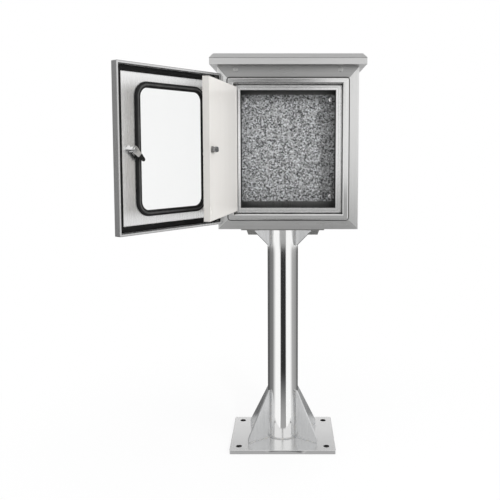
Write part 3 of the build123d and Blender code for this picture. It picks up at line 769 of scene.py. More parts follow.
@dataclass(frozen=True)
class WeldBead(Finish):
    """Bright weld metal with straw and blue heat tint."""

    straw: Colour = (0.64, 0.63, 0.605)
    blue: Colour = (0.56, 0.57, 0.585)
    tints: Mottle = Mottle((90.0, 90.0, 60.0), 3.0, reach=(0.35, 0.62))
    scales: Mottle = Mottle((1400.0, 1400.0, 1400.0), 3.0)

    def paint(self, graph: Graph) -> Values:
        """Paint the bead.

        Args:
            graph: The material's graph.

        Returns:
            The values of the shader's sockets.
        """
        place = graph.place()
        tint = self.tints.on(graph, place)
        scale = self.scales.on(graph, place)
        return {
            "Base Color": graph.blend(tint, self.straw, self.blue, graph.vary(1.0, (scale, 0.3))),
            "Metallic": 1.0,
            "Roughness": graph.vary(0.34, (scale, 0.2)),
            "Normal": graph.bump(scale, strength=0.25, distance=0.0003),
        }


@dataclass(frozen=True)
class BlackRubber(Finish):
    """Moulded black rubber with a faint bloom on its surface."""

    tone: Colour = (0.007, 0.007, 0.0072)
    bloom: float = 0.07
    bloom_tone: Colour = (0.085, 0.083, 0.080)
    clouds: Mottle = Mottle((30.0, 30.0, 30.0), 4.0, 0.6, (0.40, 0.75))
    pores: Mottle = Mottle((2600.0, 2600.0, 2600.0))

    def paint(self, graph: Graph) -> Values:
        """Paint the rubber.

        Args:
            graph: The material's graph.

        Returns:
            The values of the shader's sockets.
        """
        place = graph.place()
        dust = self.clouds.on(graph, place) * self.bloom
        pores = self.pores.on(graph, place)
        return {
            "Base Color": graph.blend(dust, self.tone, self.bloom_tone, graph.vary(1.0, (pores, 0.5))),
            "Roughness": graph.vary(dust * 0.2 + 0.52, (pores, 0.2)),
            "Specular IOR Level": 0.22,
            "Normal": graph.bump(pores, strength=0.2, distance=0.0002),
        }


@dataclass(frozen=True)
class CellFoam(Finish):
    """Black closed cell foam with an open cut surface."""

    tone: Colour = (0.006, 0.006, 0.006)
    pale_tone: Colour = (0.012, 0.012, 0.012)
    cells: float = 900.0
    clouds: Mottle = Mottle((55.0, 55.0, 55.0), 3.0)

    def paint(self, graph: Graph) -> Values:
        """Paint the foam.

        Args:
            graph: The material's graph.

        Returns:
            The values of the shader's sockets.
        """
        place = graph.place()
        pores = graph.cells(place, self.cells).ramp(0.0, 0.55)
        cloud = self.clouds.on(graph, place)
        return {
            "Base Color": graph.blend(cloud, self.tone, self.pale_tone, pores * 0.7 + 0.5),
            "Roughness": cloud * 0.1 + 0.86,
            "Specular IOR Level": 0.12,
            "Normal": graph.bump(pores, strength=0.6, distance=0.0006),
        }


@dataclass(frozen=True)
class ClearPane(Finish):
    """Clear glass with a breath of dust on it."""

    tone: Colour = (0.970, 0.976, 0.974)
    dust_tone: Colour = (0.95, 0.957, 0.955)
    films: Mottle = Mottle((12.0, 12.0, 9.0), 5.0, 0.6)

    def paint(self, graph: Graph) -> Values:
        """Paint the glass.

        Args:
            graph: The material's graph.

        Returns:
            The values of the shader's sockets.
        """
        film = self.films.on(graph, graph.place())
        return {
            "Base Color": graph.mix(film, self.tone, self.dust_tone),
            "Roughness": film.ramp(0.45, 0.85) * 0.06 + 0.01,
            "Transmission Weight": 1.0,
            "IOR": 1.46,
        }


# Geometry by rules


def linked(name: str, data: bpy.types.ID) -> bpy.types.Object:
    """Make an object and link it to the scene.

    Args:
        name: The object's name.
        data: Its mesh, curve, light or camera.

    Returns:
        The object at the origin.
    """
    made = bpy.data.objects.new(name, data)
    bpy.context.scene.collection.objects.link(made)
    return made


class RuleTree:
    """A Geometry Nodes tree with named inputs, made into a plain mesh."""

    def __init__(self, name: str, **inputs: Kind) -> None:
        """Make the tree with its inputs.

        Args:
            name: The tree's name.
            inputs: Kind of each named input besides the material.
        """
        self.tree = bpy.data.node_groups.new(name, "GeometryNodeTree")
        self.graph = Graph(self.tree)
        sockets = self.tree.interface
        sockets.new_socket("Geometry", in_out="INPUT", socket_type="NodeSocketGeometry")
        self.identifiers = {}
        for key, kind in {**inputs, "Material": Kind.MATERIAL}.items():
            made = sockets.new_socket(key, in_out="INPUT", socket_type=kind.value)
            self.identifiers[key] = made.identifier
        sockets.new_socket("Geometry", in_out="OUTPUT", socket_type="NodeSocketGeometry")
        self.inputs = self.graph.node("NodeGroupInput", out="Geometry")

    def value(self, key: str) -> Sock:
        """Return a named input of the tree."""
        return self.inputs.other(key)

    def stand(self, piece: Sock) -> "RuleTree":
        """End the tree with a copy of a piece on each point, turned to the input Axis.

        Args:
            piece: The piece, which stands along Z.

        Returns:
            The tree itself.
        """
        axis = {"Vector": self.value("Axis")}
        turned = self.graph.node("FunctionNodeAlignRotationToVector", {"axis": "Z"}, axis, "Rotation")
        values = {"Points": self.inputs, "Instance": piece, "Rotation": turned}
        return self.close(self.graph.node("GeometryNodeInstanceOnPoints", None, values), smooth=False)

    def close(self, result: Sock, smooth: bool) -> "RuleTree":
        """End the tree: shade, realize the instances and set the material.

        Args:
            result: The geometry.
            smooth: Whether its faces are shaded smooth.

        Returns:
            The tree itself.
        """
        graph = self.graph
        plain = graph.node("GeometryNodeRealizeInstances", None, {"Geometry": result})
        shaded = graph.node("GeometryNodeSetShadeSmooth", None, {"Geometry": plain, "Shade Smooth": smooth})
        values = {"Geometry": shaded, "Material": self.value("Material")}
        dressed = graph.node("GeometryNodeSetMaterial", None, values)
        graph.node("NodeGroupOutput", None, {"Geometry": dressed})
        return self

    def grow(self, name: str, seed: bpy.types.ID, values: dict[str, object]) -> bpy.types.Object:
        """Run the tree on a mesh or curve and keep the result as a plain mesh object.

        Args:
            name: Name of the new piece.
            seed: The mesh or curve that the tree starts from.
            values: Values of the named inputs.

        Returns:
            The new object at the origin.
        """
        host = linked(name + "_seed", seed)
        modifier = host.modifiers.new("rule", "NODES")
        modifier.node_group = self.tree
        for key, value in values.items():
            modifier[self.identifiers[key]] = value
        host.update_tag()
        graph = bpy.context.evaluated_depsgraph_get()
        graph.update()
        mesh = bpy.data.meshes.new_from_object(host.evaluated_get(graph), depsgraph=graph)
        mesh.name = name
        host.modifiers.remove(modifier)
        bpy.data.objects.remove(host)
        mesh.materials.clear()
        mesh.materials.append(values["Material"])
        return linked(name, mesh)


def bead_tree(step: float = 0.0009) -> RuleTree:
    """Build the rule of a weld bead: a rippled round section along a path.

    Args:
        step: Distance between the bead's rings.

    Returns:
        The tree, with the bead's radius and its ripple spacing as inputs.
    """
    rule = RuleTree("weld_bead_rule", Radius=Kind.NUMBER, Ripple=Kind.NUMBER)
    graph = rule.graph
    values = {"Curve": rule.inputs, "Length": step}
    even = graph.node("GeometryNodeResampleCurve", {"mode": "LENGTH"}, values)
    along = graph.node("GeometryNodeSplineParameter", out="Length")
    wave = abs((along / rule.value("Ripple") * math.pi).math("SINE"))
    values = {"Vector": graph.node("GeometryNodeInputPosition"), "Scale": 70.0, "Detail": 2.0}
    drift = graph.node("ShaderNodeTexNoise", None, values)
    size = graph.vary(wave * 0.22 + 0.84, (drift, 0.5))
    swollen = graph.node("GeometryNodeSetCurveRadius", None, {"Curve": even, "Radius": size})
    values = {"Resolution": 8, "Radius": rule.value("Radius")}
    ring = graph.node("GeometryNodeCurvePrimitiveCircle", None, values)
    values = {"Curve": swollen, "Profile Curve": ring, "Scale": size, "Fill Caps": True}
    return rule.close(graph.node("GeometryNodeCurveToMesh", None, values), smooth=True)


def thread_tree(ridge_share: float = 0.42) -> RuleTree:
    """Build the rule of screw threads: one helical ridge on each start point.

    Args:
        ridge_share: The ridge's radius as a share of the pitch.

    Returns:
        The tree, with the thread's radius, pitch, length and direction as inputs.
    """
    sizes = dict.fromkeys(("Radius", "Pitch", "Length"), Kind.NUMBER)
    rule = RuleTree("thread_rule", **sizes, Axis=Kind.VECTOR)
    graph = rule.graph
    radius, pitch, length = (rule.value(key) for key in sizes)
    values = {"Rotations": length / pitch, "Start Radius": radius, "End Radius": radius, "Height": length}
    helix = graph.node("GeometryNodeCurveSpiral", None, {"Resolution": 20, **values})
    values = {"Resolution": 4, "Radius": pitch * ridge_share}
    ridge = graph.node("GeometryNodeCurvePrimitiveCircle", None, values)
    values = {"Curve": helix, "Profile Curve": ridge, "Fill Caps": True}
    return rule.stand(graph.node("GeometryNodeCurveToMesh", None, values))


def stamp_tree() -> RuleTree:
    """Build the rule that sets one copy of a piece on each point.

    Returns:
        The tree, with the piece and its axis as inputs.
    """
    rule = RuleTree("stamp_rule", Piece=Kind.PIECE, Axis=Kind.VECTOR)
    values = {"Object": rule.value("Piece")}
    return rule.stand(rule.graph.node("GeometryNodeObjectInfo", None, values, "Geometry"))


def strip_tree() -> RuleTree:
    """Build the rule of a strip that runs round a rounded rectangle with its own section.

    Returns:
        The tree, with the outline's size, corner radius, place and turn as inputs.
    """
    sizes = dict.fromkeys(("Width", "Height", "Corner"), Kind.NUMBER)
    rule = RuleTree("strip_rule", **sizes, Place=Kind.VECTOR, Turn=Kind.VECTOR)
    graph = rule.graph
    width, height, corner = (rule.value(key) for key in sizes)
    values = {"Width": width, "Height": height}
    outline = graph.node("GeometryNodeCurvePrimitiveQuadrilateral", {"mode": "RECTANGLE"}, values)
    values = {"Curve": outline, "Count": 14, "Radius": corner}
    rounded = graph.node("GeometryNodeFilletCurve", {"mode": "POLY"}, values)
    level = graph.node("GeometryNodeSetCurveNormal", {"mode": "Z_UP"}, {"Curve": rounded})
    shape = graph.node("GeometryNodeCurveToMesh", None, {"Curve": level, "Profile Curve": rule.inputs})
    upright = (math.pi / 2, 0.0, 0.0)
    moves = ("Rotation", upright), ("Rotation", rule.value("Turn")), ("Translation", rule.value("Place"))
    for key, move in moves:
        shape = graph.node("GeometryNodeTransform", None, {"Geometry": shape, key: move})
    return rule.close(shape, smooth=False)


@dataclass
class Rules:
    """The geometry rules that the sub-assemblies share."""

    bead: RuleTree = field(default_factory=bead_tree)
    thread: RuleTree = field(default_factory=thread_tree)
    stamp: RuleTree = field(default_factory=stamp_tree)
    strip: RuleTree = field(default_factory=strip_tree)


def points_mesh(name: str, points: Iterable[Vector]) -> bpy.types.Mesh:
    """Make a mesh that holds only points.

    Args:
        name: The mesh's name.
        points: The points.

    Returns:
        The mesh.
    """
    mesh = bpy.data.meshes.new(name)
    mesh.from_pydata([tuple(p) for p in points], [], [])
    return mesh


def path_curve(name: str, paths: Iterable[Sequence[Vector]], closed: bool) -> bpy.types.Curve:
    """Return a curve of straight runs.

    Args:
        name: The curve's name.
        paths: Points of each run.
        closed: Whether each run closes on itself.

    Returns:
        The curve.
    """
    curve = bpy.data.curves.new(name, "CURVE")
    curve.dimensions = "3D"
    for points in paths:
        spline = curve.splines.new("POLY")
        spline.points.add(len(points) - 1)
        for place, point in zip(spline.points, points):
            place.co = (*point, 1.0)
        spline.use_cyclic_u = closed
    return curve


def ring_path(radius: float, z: float, count: int = 72) -> list[Vector]:
    """Return the points of a level circle about the post's axis."""
    turns = [2 * math.pi * i / count for i in range(count)]
    return [Vector((radius * math.cos(a), radius * math.sin(a), z)) for a in turns]


def mesh_of(name: str, form: bmesh.types.BMesh) -> bpy.types.Mesh:
    """Turn a form under construction into a mesh.

    Args:
        name: The mesh's name.
        form: The form, which is freed.

    Returns:
        The mesh.
    """
    mesh = bpy.data.meshes.new(name)
    form.to_mesh(mesh)
    form.free()
    return mesh


def lathe(name: str, rings: Sequence[tuple[Course, Course]], count: int) -> bpy.types.Mesh:
    """Make a closed ring-shaped mesh.

    Args:
        name: The mesh's name.
        rings: Radius and height of each ring, as numbers or as functions of the angle.
        count: Points round each ring.

    Returns:
        The mesh, closed from the last ring back to the first.
    """
    form = bmesh.new()
    rows = []
    for radius, height in rings:
        row = []
        for step in range(count):
            turn = 2 * math.pi * step / count
            out, up = (size(turn) if callable(size) else size for size in (radius, height))
            row.append(form.verts.new((out * math.cos(turn), out * math.sin(turn), up)))
        rows.append(row)
    for first, second in zip(rows, rows[1:] + rows[:1]):
        for step in range(count):
            nxt = (step + 1) % count
            form.faces.new((first[step], first[nxt], second[nxt], second[step]))
    bmesh.ops.recalc_face_normals(form, faces=form.faces)
    return mesh_of(name, form)


@dataclass(frozen=True)
class HexNut:
    """A hexagon nut with chamfered corners and a plain washer under it."""

    corner_radius: float = 0.0072
    height: float = 0.0065
    bore: float = 0.0041
    bore_flare: float = 1.08
    crown_share: float = 0.96
    chamfer: float = math.radians(30)
    washer_radius: float = 0.0
    washer_height: float = 0.0
    washer_top: float = 0.97
    washer_side: float = 0.7
    count: int = 48

    def piece(self, name: str) -> bpy.types.Object:
        """Make the nut, standing on the origin along Z.

        Args:
            name: Name of the object.

        Returns:
            The object, linked to the scene.
        """
        flats = self.corner_radius * math.cos(math.pi / 6)
        crown = flats * self.crown_share
        low = self.washer_height
        high = low + self.height

        def side(turn: float) -> float:
            """Distance of the hexagon's side at a turn."""
            return flats / math.cos(turn % (math.pi / 3) - math.pi / 6)

        def drop(turn: float) -> float:
            """Depth of the chamfer at a turn."""
            return (side(turn) - crown) * math.tan(self.chamfer)

        rings = [
            (self.bore, low),
            (self.bore * self.bore_flare, high),
            (crown, high),
            (side, lambda turn: high - drop(turn)),
            (side, lambda turn: low + drop(turn)),
            (crown, low),
        ]
        form = bmesh.new()
        form.from_mesh(lathe(name + "_hexagon", rings, self.count))
        if self.washer_height:
            rim = self.washer_radius
            bevel = (rim * self.washer_top, low), (rim, low * self.washer_side)
            washer = [(self.bore, 0.0), (self.bore, low), *bevel, (rim, 0.0)]
            form.from_mesh(lathe(name + "_washer", washer, self.count))
        return linked(name, mesh_of(name, form))


def dress(nodes: dict[str, bpy.types.Object], finish: Material, *names: str) -> None:
    """Give CAD nodes their material.

    Args:
        nodes: The frame's CAD nodes.
        finish: The material.
        names: Names of the nodes to dress.
    """
    for name in names:
        mesh = nodes[name].data
        mesh.materials.clear()
        mesh.materials.append(finish)
        LOG.info("node %s takes %s", name, finish.name)


def keep(piece: bpy.types.Object, body: str, slot: str, *stands_for: str) -> bpy.types.Object:
    """Let a finished piece ride on a body.

    Args:
        piece: The piece.
        body: Name of the CAD body.
        slot: The record's material slot, which is not used.
        stands_for: CAD nodes that it replaces.

    Returns:
        The piece.
    """
    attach(piece, body)
    if stands_for:
        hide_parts(*stands_for)
    LOG.info("piece %s on %s with %d faces", piece.name, body, len(piece.data.polygons))
    return piece


# The cabinet

BOX = Frame((0.020, -0.100, 0.813))
CORNERS = ("front_left", "front_right", "rear_left", "rear_right")
LEVELS = ("upper", "lower")


def at(places: Iterable[str], *kinds: str) -> list[str]:
    """Return the names of the nodes of each kind at each place."""
    return [f"{kind}_{place}" for kind in kinds for place in places]


@dataclass
class Post:
    """Base plate, post tube, gussets and saddle with their welds.

    The stops are how far a seam ends before its gusset's tip and toe. A bead is given by its radius and
    the spacing of its ripples.
    """

    nodes: dict[str, bpy.types.Object]
    rules: Rules
    radius: float = 0.057
    plate_top: float = 0.014
    plate_size: Pair = (0.385, 0.300)
    anchor_spacing: Pair = (0.320, 0.230)
    anchor_radius: float = 0.011
    saddle_under: float = 0.807
    azimuth: float = math.radians(35)
    gusset_half: float = 0.003
    base_reach: float = 0.155
    base_height: float = 0.180
    head_reach: float = 0.123
    head_height: float = 0.062
    base_stops: Pair = (0.004, 0.002)
    head_stops: Pair = (0.003, 0.003)
    weld_lift: float = 0.001
    toe_lift: float = 0.0006
    gusset_bead: Pair = (0.0022, 0.0026)
    ring_bead: Pair = (0.0028, 0.0030)

    def build(self) -> None:
        """Dress the post's nodes and lay its welds."""
        polished = PolishedSteel("post_mirror_steel", tone=(0.95, 0.95, 0.945), rough=0.075, wave=0.0002)
        dress(self.nodes, polished.build(), "post_tube")
        # Painted shade in the anchor holes and on the plate's cut edges.
        bores = BoreShade(0.10, self.anchor_spacing, self.anchor_radius, self.plate_top)
        edges = EdgeShade(0.5, self.plate_size)
        grey = (0.80, 0.80, 0.80)
        plate = BrushedSteel("plate_brushed_steel", grey, Grain.LEVEL, rough=0.22, shades=(bores, edges))
        dress(self.nodes, plate.build(), "base_plate")
        saddle = BrushedSteel("saddle_steel", (0.42, 0.42, 0.41), Grain.LEVEL)
        dress(self.nodes, saddle.build(), "head_saddle")
        gusset = BrushedSteel("gusset_ground_steel", (0.66, 0.665, 0.67), rough=0.24, contrast=0.3)
        dress(self.nodes, gusset.build(), *at(CORNERS, "base_gusset", "head_gusset"))
        weld = WeldBead("weld_metal").build()
        ends = self.plate_top + self.weld_lift, self.saddle_under - self.weld_lift
        rings = [ring_path(self.radius + self.weld_lift, z) for z in ends]
        self.weld("gusset_welds", path_curve("gusset_seams", self.seams(), False), self.gusset_bead, weld)
        self.weld("post_end_welds", path_curve("post_seams", rings, True), self.ring_bead, weld)

    def weld(self, name: str, paths: bpy.types.Curve, bead: Pair, metal: Material) -> None:
        """Lay beads along paths.

        Args:
            name: Name of the piece.
            paths: The paths.
            bead: The bead's radius and the spacing of its ripples.
            metal: Its material.
        """
        values = {"Radius": bead[0], "Ripple": bead[1], "Material": metal}
        keep(self.rules.bead.grow(name, paths, values), "cabinet", "brushed_stainless")

    def seams(self) -> list[list[Vector]]:
        """Find the paths of the welds along both faces of each gusset.

        Returns:
            For each seam its points, from the gusset's tip along the post and out to its toe.
        """
        beside = self.radius + SKIN
        ends = (
            (self.plate_top, 1, self.base_height, self.base_reach, self.base_stops),
            (self.saddle_under, -1, self.head_height, self.head_reach, self.head_stops),
        )
        runs = []
        for start, sign, height, reach, (tip, toe) in ends:
            heights = (height - tip, self.weld_lift, self.toe_lift)
            runs.append([(r, start + sign * z) for r, z in zip((beside, beside, reach - toe), heights)])
        paths = []
        for angle in (self.azimuth, math.pi - self.azimuth, math.pi + self.azimuth, -self.azimuth):
            out = Vector((math.cos(angle), math.sin(angle), 0))
            across = Vector((-math.sin(angle), math.cos(angle), 0))
            for shift in (-self.gusset_half, self.gusset_half):
                for run in runs:
                    paths.append([out * reach + across * shift + Vector((0, 0, z)) for reach, z in run])
        return paths


@dataclass(frozen=True)
class Fastening:
    """Nuts on studs or bolts, with the ends of the threads that stand out of them.

    A nut's point is its seat. The thread shows from the start over its length, measured from the seat.
    """

    nuts: str
    threads: str
    points: list[Vector]
    facing: Facing
    nut: HexNut
    start: float
    length: float


@dataclass
class Box:
    """The folded box with its face, gutter, canopy, inner frame and mounting plate."""

    nodes: dict[str, bpy.types.Object]
    rules: Rules
    width: float = 0.500
    depth: float = 0.200
    height: float = 0.577
    sheet: float = 0.0015
    fascia: float = 0.023
    fold_drop: float = 0.0006
    bolt_radius: float = 0.004
    pitch: float = 0.00125
    thread_depth: float = 0.3
    saddle_x: float = 0.120
    saddle_y: float = 0.040
    canopy_x: float = 0.226
    canopy_y: float = 0.0865
    stud_x: float = 0.1615
    stud_z: float = 0.1835
    stud_start: float = 0.0078
    stud_end: float = 0.0028
    bolt_end: float = 0.0036
    plate_y: float = 0.174
    plate_z: float = 0.289
    plug_x: float = 0.185
    plug_drop: float = 0.012
    plug_radius: float = 0.009
    plug_height: float = 0.0025

    def build(self) -> None:
        """Dress the box's nodes and add its small hardware."""
        middle = Frame(tuple(BOX.point(0, 0, self.height / 2)))
        size = (self.width, self.depth, self.height)
        face = FaceSteel("box_brushed_steel", frame=middle, size=size, contrast=0.26)
        dress(self.nodes, face.build(), "cabinet_body")
        # Painted shade along the canopy's fold.
        fold = FoldShade(0.5, BOX.origin[2] + self.height + self.fascia - self.fold_drop)
        grey = (0.68, 0.68, 0.675)
        roof = BrushedSteel("canopy_brushed_steel", grey, Grain.LEVEL, 0.34, contrast=0.2, shades=(fold,))
        dress(self.nodes, roof.build(), "canopy_roof")
        inner = BrushedSteel("inner_frame_steel", (0.88, 0.88, 0.875), rough=0.18)
        dress(self.nodes, inner.build(), "inner_frame")
        dress(self.nodes, Galvanised("spangled_zinc").build(), "mounting_plate")
        bright = BrightPlating("bright_plating").build()
        dress(self.nodes, bright, "plate_studs", "earth_stud", "saddle_bolts", "canopy_bolts")
        dress(self.nodes, bright, *at(LEVELS, "outer_hinge_pin", "inner_pivot_pin"))
        brackets = at(LEVELS, "outer_hinge_bracket", "inner_pivot_bracket")
        dress(self.nodes, BrushedSteel("bracket_steel").build(), *brackets)
        dress(self.nodes, BlackRubber("grommet_rubber").build(), "cable_grommet")
        self.hardware(bright)
        self.plugs()

    @staticmethod
    def corners(middle: Triple, half: Triple) -> list[Vector]:
        """Return four points about a point of the box's frame.

        Args:
            middle: The point in the middle.
            half: Half the spacing along each axis, with 0 along Y or Z.

        Returns:
            The four points.
        """
        x, y, z = middle
        return [BOX.point(x + a * half[0], y + b * half[1], z + b * half[2]) for a, b in QUARTERS]

    def hardware(self, bright: Material) -> None:
        """Set the nuts and threads of the mounting plate, the saddle and the canopy.

        Args:
            bright: Material of the threads, and of the nuts apart from the plate's.
        """
        back = self.depth / 2
        on_plate = self.corners((0, self.plate_y, self.plate_z), (self.stud_x, 0, self.stud_z))
        on_floor = self.corners((-BOX.origin[0], back, self.sheet), (self.saddle_x, self.saddle_y, 0))
        on_top = self.corners((0, back, self.height + self.sheet), (self.canopy_x, self.canopy_y, 0))
        nut = HexNut()
        washered = HexNut(washer_radius=0.008, washer_height=0.0016)
        zinc = BrightPlating("nut_zinc_plating", tone=(0.90, 0.90, 0.90), rough=0.14).build()
        front, up = Facing.FRONT, Facing.UP
        studs = self.stud_start, self.stud_end
        plate = ("plate_nuts", "plate_stud_threads", on_plate, front, washered, *studs)
        saddle = ("saddle_nuts", "saddle_bolt_threads", on_floor, up, nut, nut.height, self.bolt_end)
        canopy = ("canopy_nuts", "canopy_bolt_threads", on_top, up, nut, nut.height, self.bolt_end)
        self.fasten(Fastening(*plate), zinc, bright)
        self.fasten(Fastening(*saddle), bright, bright)
        self.fasten(Fastening(*canopy), bright, bright)

    def fasten(self, group: Fastening, plating: Material, bright: Material) -> None:
        """Set chamfered nuts in place of a CAD node, and wind the threads that stand out of them.

        Args:
            group: The nuts and threads.
            plating: Material of the nuts.
            bright: Material of the threads.
        """
        single = group.nut.piece(group.nuts + "_single")
        axis = group.facing.value
        values = {"Piece": single, "Axis": axis, "Material": plating}
        seats = points_mesh(group.nuts + "_points", group.points)
        nuts = self.rules.stamp.grow(group.nuts + "_turned", seats, values)
        bpy.data.objects.remove(single)
        keep(nuts, "cabinet", "bright_hardware", group.nuts)
        root = self.bolt_radius - self.pitch * self.thread_depth
        ridge = {"Radius": root, "Pitch": self.pitch, "Length": group.length}
        values = {**ridge, "Axis": axis, "Material": bright}
        starts = [p + Vector(axis) * group.start for p in group.points]
        seeds = points_mesh(group.threads + "_points", starts)
        keep(self.rules.thread.grow(group.threads, seeds, values), "cabinet", "bright_hardware")

    def plugs(self) -> None:
        """Set domed plugs in the face, under the canopy."""
        tip = 0.00001
        dome = [(tip, 0.0), (self.plug_radius, 0.0)]
        for rise in map(math.radians, (0, 8, 20, 35, 52, 70, 90)):
            out = max(self.plug_radius * math.cos(rise), tip)
            dome.append((out, self.plug_height * (0.55 + 0.45 * math.sin(rise))))
        single = linked("face_plug_single", lathe("face_plug_dome", dome, 36))
        points = [BOX.point(x, 0, self.height - self.plug_drop) for x in (-self.plug_x, self.plug_x)]
        satin = BrushedSteel("plug_satin_steel", (0.56, 0.56, 0.555), rough=0.42).build()
        values = {"Piece": single, "Axis": Facing.FRONT.value, "Material": satin}
        plugs = self.rules.stamp.grow("face_plug_domes", points_mesh("plug_points", points), values)
        bpy.data.objects.remove(single)
        for polygon in plugs.data.polygons:
            polygon.use_smooth = True
        keep(plugs, "cabinet", "bright_hardware", "face_plugs")


@dataclass(frozen=True)
class Outline:
    """A rounded rectangle on a door: its middle along the door, its size and its corner radius."""

    middle_x: float
    width: float
    height: float
    corner: float


@dataclass
class OuterDoor:
    """The outer door: its pan, foam gasket, glazing seal, pane, hinges and lock."""

    nodes: dict[str, bpy.types.Object]
    rules: Rules
    frame: Frame = Frame((-0.214, -0.106, 0.813), math.radians(-127))
    middle: Pair = (0.234, 0.285)
    size: Pair = (0.452, 0.528)
    window: Outline = Outline(0.222, 0.308, 0.424, 0.050)
    sheet: float = 0.0015
    lip: float = 0.0095
    edge: float = 0.0017
    inside_y: float = -0.0165
    gasket_inset: float = 0.009
    gasket_width: float = 0.018
    gasket_height: float = 0.0092
    gasket_corner: float = 0.009
    seal_inside: float = 0.008
    seal_outside: float = 0.004
    pane_thickness: float = 0.004

    def build(self) -> None:
        """Dress the door's nodes and make its soft strips."""
        # Painted shade along the door's outer edge and its lip.
        shades = (
            RimShade(0.50, self.middle, self.size, self.edge),
            RimShade(0.72, self.middle, self.size, self.lip),
        )
        grey = (0.93, 0.93, 0.93)
        sheet = BrushedSteel("outer_door_steel", grey, rough=0.27, frame=self.frame, shades=shades)
        dress(self.nodes, sheet.build(), "outer_door_pan")
        dress(self.nodes, BrushedSteel("knuckle_steel").build(), *at(LEVELS, "outer_hinge_knuckle"))
        dress(self.nodes, ClearPane("clear_pane_glass").build(), "window_pane")
        bright = BrightPlating("outer_lock_plating", tone=(0.95, 0.95, 0.95), rough=0.12).build()
        lock = at(("housing", "nut", "core", "cam"), "outer_lock")
        dress(self.nodes, bright, *lock, "outer_cam_screw")
        dress(self.nodes, BlackRubber("cam_cap_rubber", bloom=0.1).build(), "outer_cam_cap")
        width, height = (length - 2 * self.gasket_inset for length in self.size)
        ring = Outline(self.middle[0], width, height, self.gasket_corner)
        foam = CellFoam("black_cell_foam").build()
        gasket = self.strip("foam_gasket_strip", self.gasket_section(), ring, foam)
        keep(gasket, "outer_door", "foam_gasket", "outer_door_gasket")
        black = BlackRubber("glazing_rubber").build()
        seal = self.strip("glazing_seal", self.seal_section(), self.window, black)
        keep(seal, "outer_door", "black_rubber", "window_seal")
        grey = BlackRubber("filler_rubber", tone=(0.055, 0.055, 0.055), bloom=0.8).build()
        filler = self.strip("seal_filler", self.filler_section(), self.window, grey)
        keep(filler, "outer_door", "black_rubber")

    def strip(
        self, name: str, section: list[Pair], outline: Outline, material: Material
    ) -> bpy.types.Object:
        """Run a section round a rounded rectangle on the door's inside.

        Args:
            name: Name of the piece.
            section: Points of the section: inwards from the outline, and up from the door's inside.
            outline: The rounded rectangle.
            material: The material.

        Returns:
            The piece.
        """
        profile = path_curve(name + "_section", [[Vector((-u, v, 0)) for u, v in section]], True)
        values = {
            "Width": outline.width,
            "Height": outline.height,
            "Corner": outline.corner,
            "Place": tuple(self.frame.point(outline.middle_x, self.inside_y, self.middle[1])),
            "Turn": (0.0, 0.0, self.frame.turn),
            "Material": material,
        }
        piece = self.rules.strip.grow(name, profile, values)
        form = bmesh.new()
        form.from_mesh(piece.data)
        bmesh.ops.remove_doubles(form, verts=form.verts, dist=1e-6)
        bmesh.ops.recalc_face_normals(form, faces=form.faces)
        form.to_mesh(piece.data)
        form.free()
        return piece

    def gasket_section(self) -> list[Pair]:
        """Draw the gasket's section, crowned and soft at its edges.

        Returns:
            The section's points in metres.
        """
        width, height = self.gasket_width, self.gasket_height
        stations = (0.02, 0.06, 0.12, 0.22, 0.36, 0.5, 0.64, 0.78, 0.88, 0.94, 0.98)
        crown = [(width * t, height * (0.62 + 0.38 * math.sin(math.pi * t) ** 0.28)) for t in stations]
        side = [(0.0004, 0.0), (0.0, height * 0.35), (0.0001, height * 0.68)]
        return [*side, *crown, *((width - u, v) for u, v in reversed(side))]

    def seal_section(self) -> list[Pair]:
        """Draw the glazing seal's section with its slots for the skin and the pane.

        Returns:
            The section's points in metres.
        """
        top, skin, out = self.seal_inside / MM, -self.sheet / MM, -(self.sheet + self.seal_outside) / MM
        groove = top - 2.6
        over, under = (skin / 2 + side * self.pane_thickness / MM / 2 for side in (1, -1))
        lip = [(0.4, 0.0), (0.0, 1.2), (0.5, 4.4), (2.2, 6.6), (4.6, top - 0.2), (6.4, top)]
        middle = [(6.9, top - 1.4), (7.3, groove), (12.7, groove), (13.1, top - 1.4), (13.6, top)]
        nose = [(15.4, top - 0.3), (17.8, 6.4), (19.5, 4.2), (20.0, over + 0.6), (19.4, over), (14.0, over)]
        outer = [(14.0, under), (19.4, under), (19.9, out + 1.6), (18.6, out + 0.5), (14.0, out)]
        slot = [(7.0, out), (1.6, out + 0.8), (0.3, skin - 0.6), (1.0, skin), (8.0, skin), (8.0, 0.0)]
        return [(u * MM, v * MM) for u, v in (*lip, *middle, *nose, *outer, *slot)]

    def filler_section(self) -> list[Pair]:
        """Draw the locking strip's section, pressed into the seal's groove.

        Returns:
            The section's points in metres.
        """
        top = self.seal_inside / MM
        rise = [(7.2, top - 2.7), (7.0, top - 1.5), (7.7, top - 0.5), (10.0, top - 0.1)]
        fall = [(12.3, top - 0.5), (13.0, top - 1.5), (12.8, top - 2.7)]
        return [(u * MM, v * MM) for u, v in (*rise, *fall)]


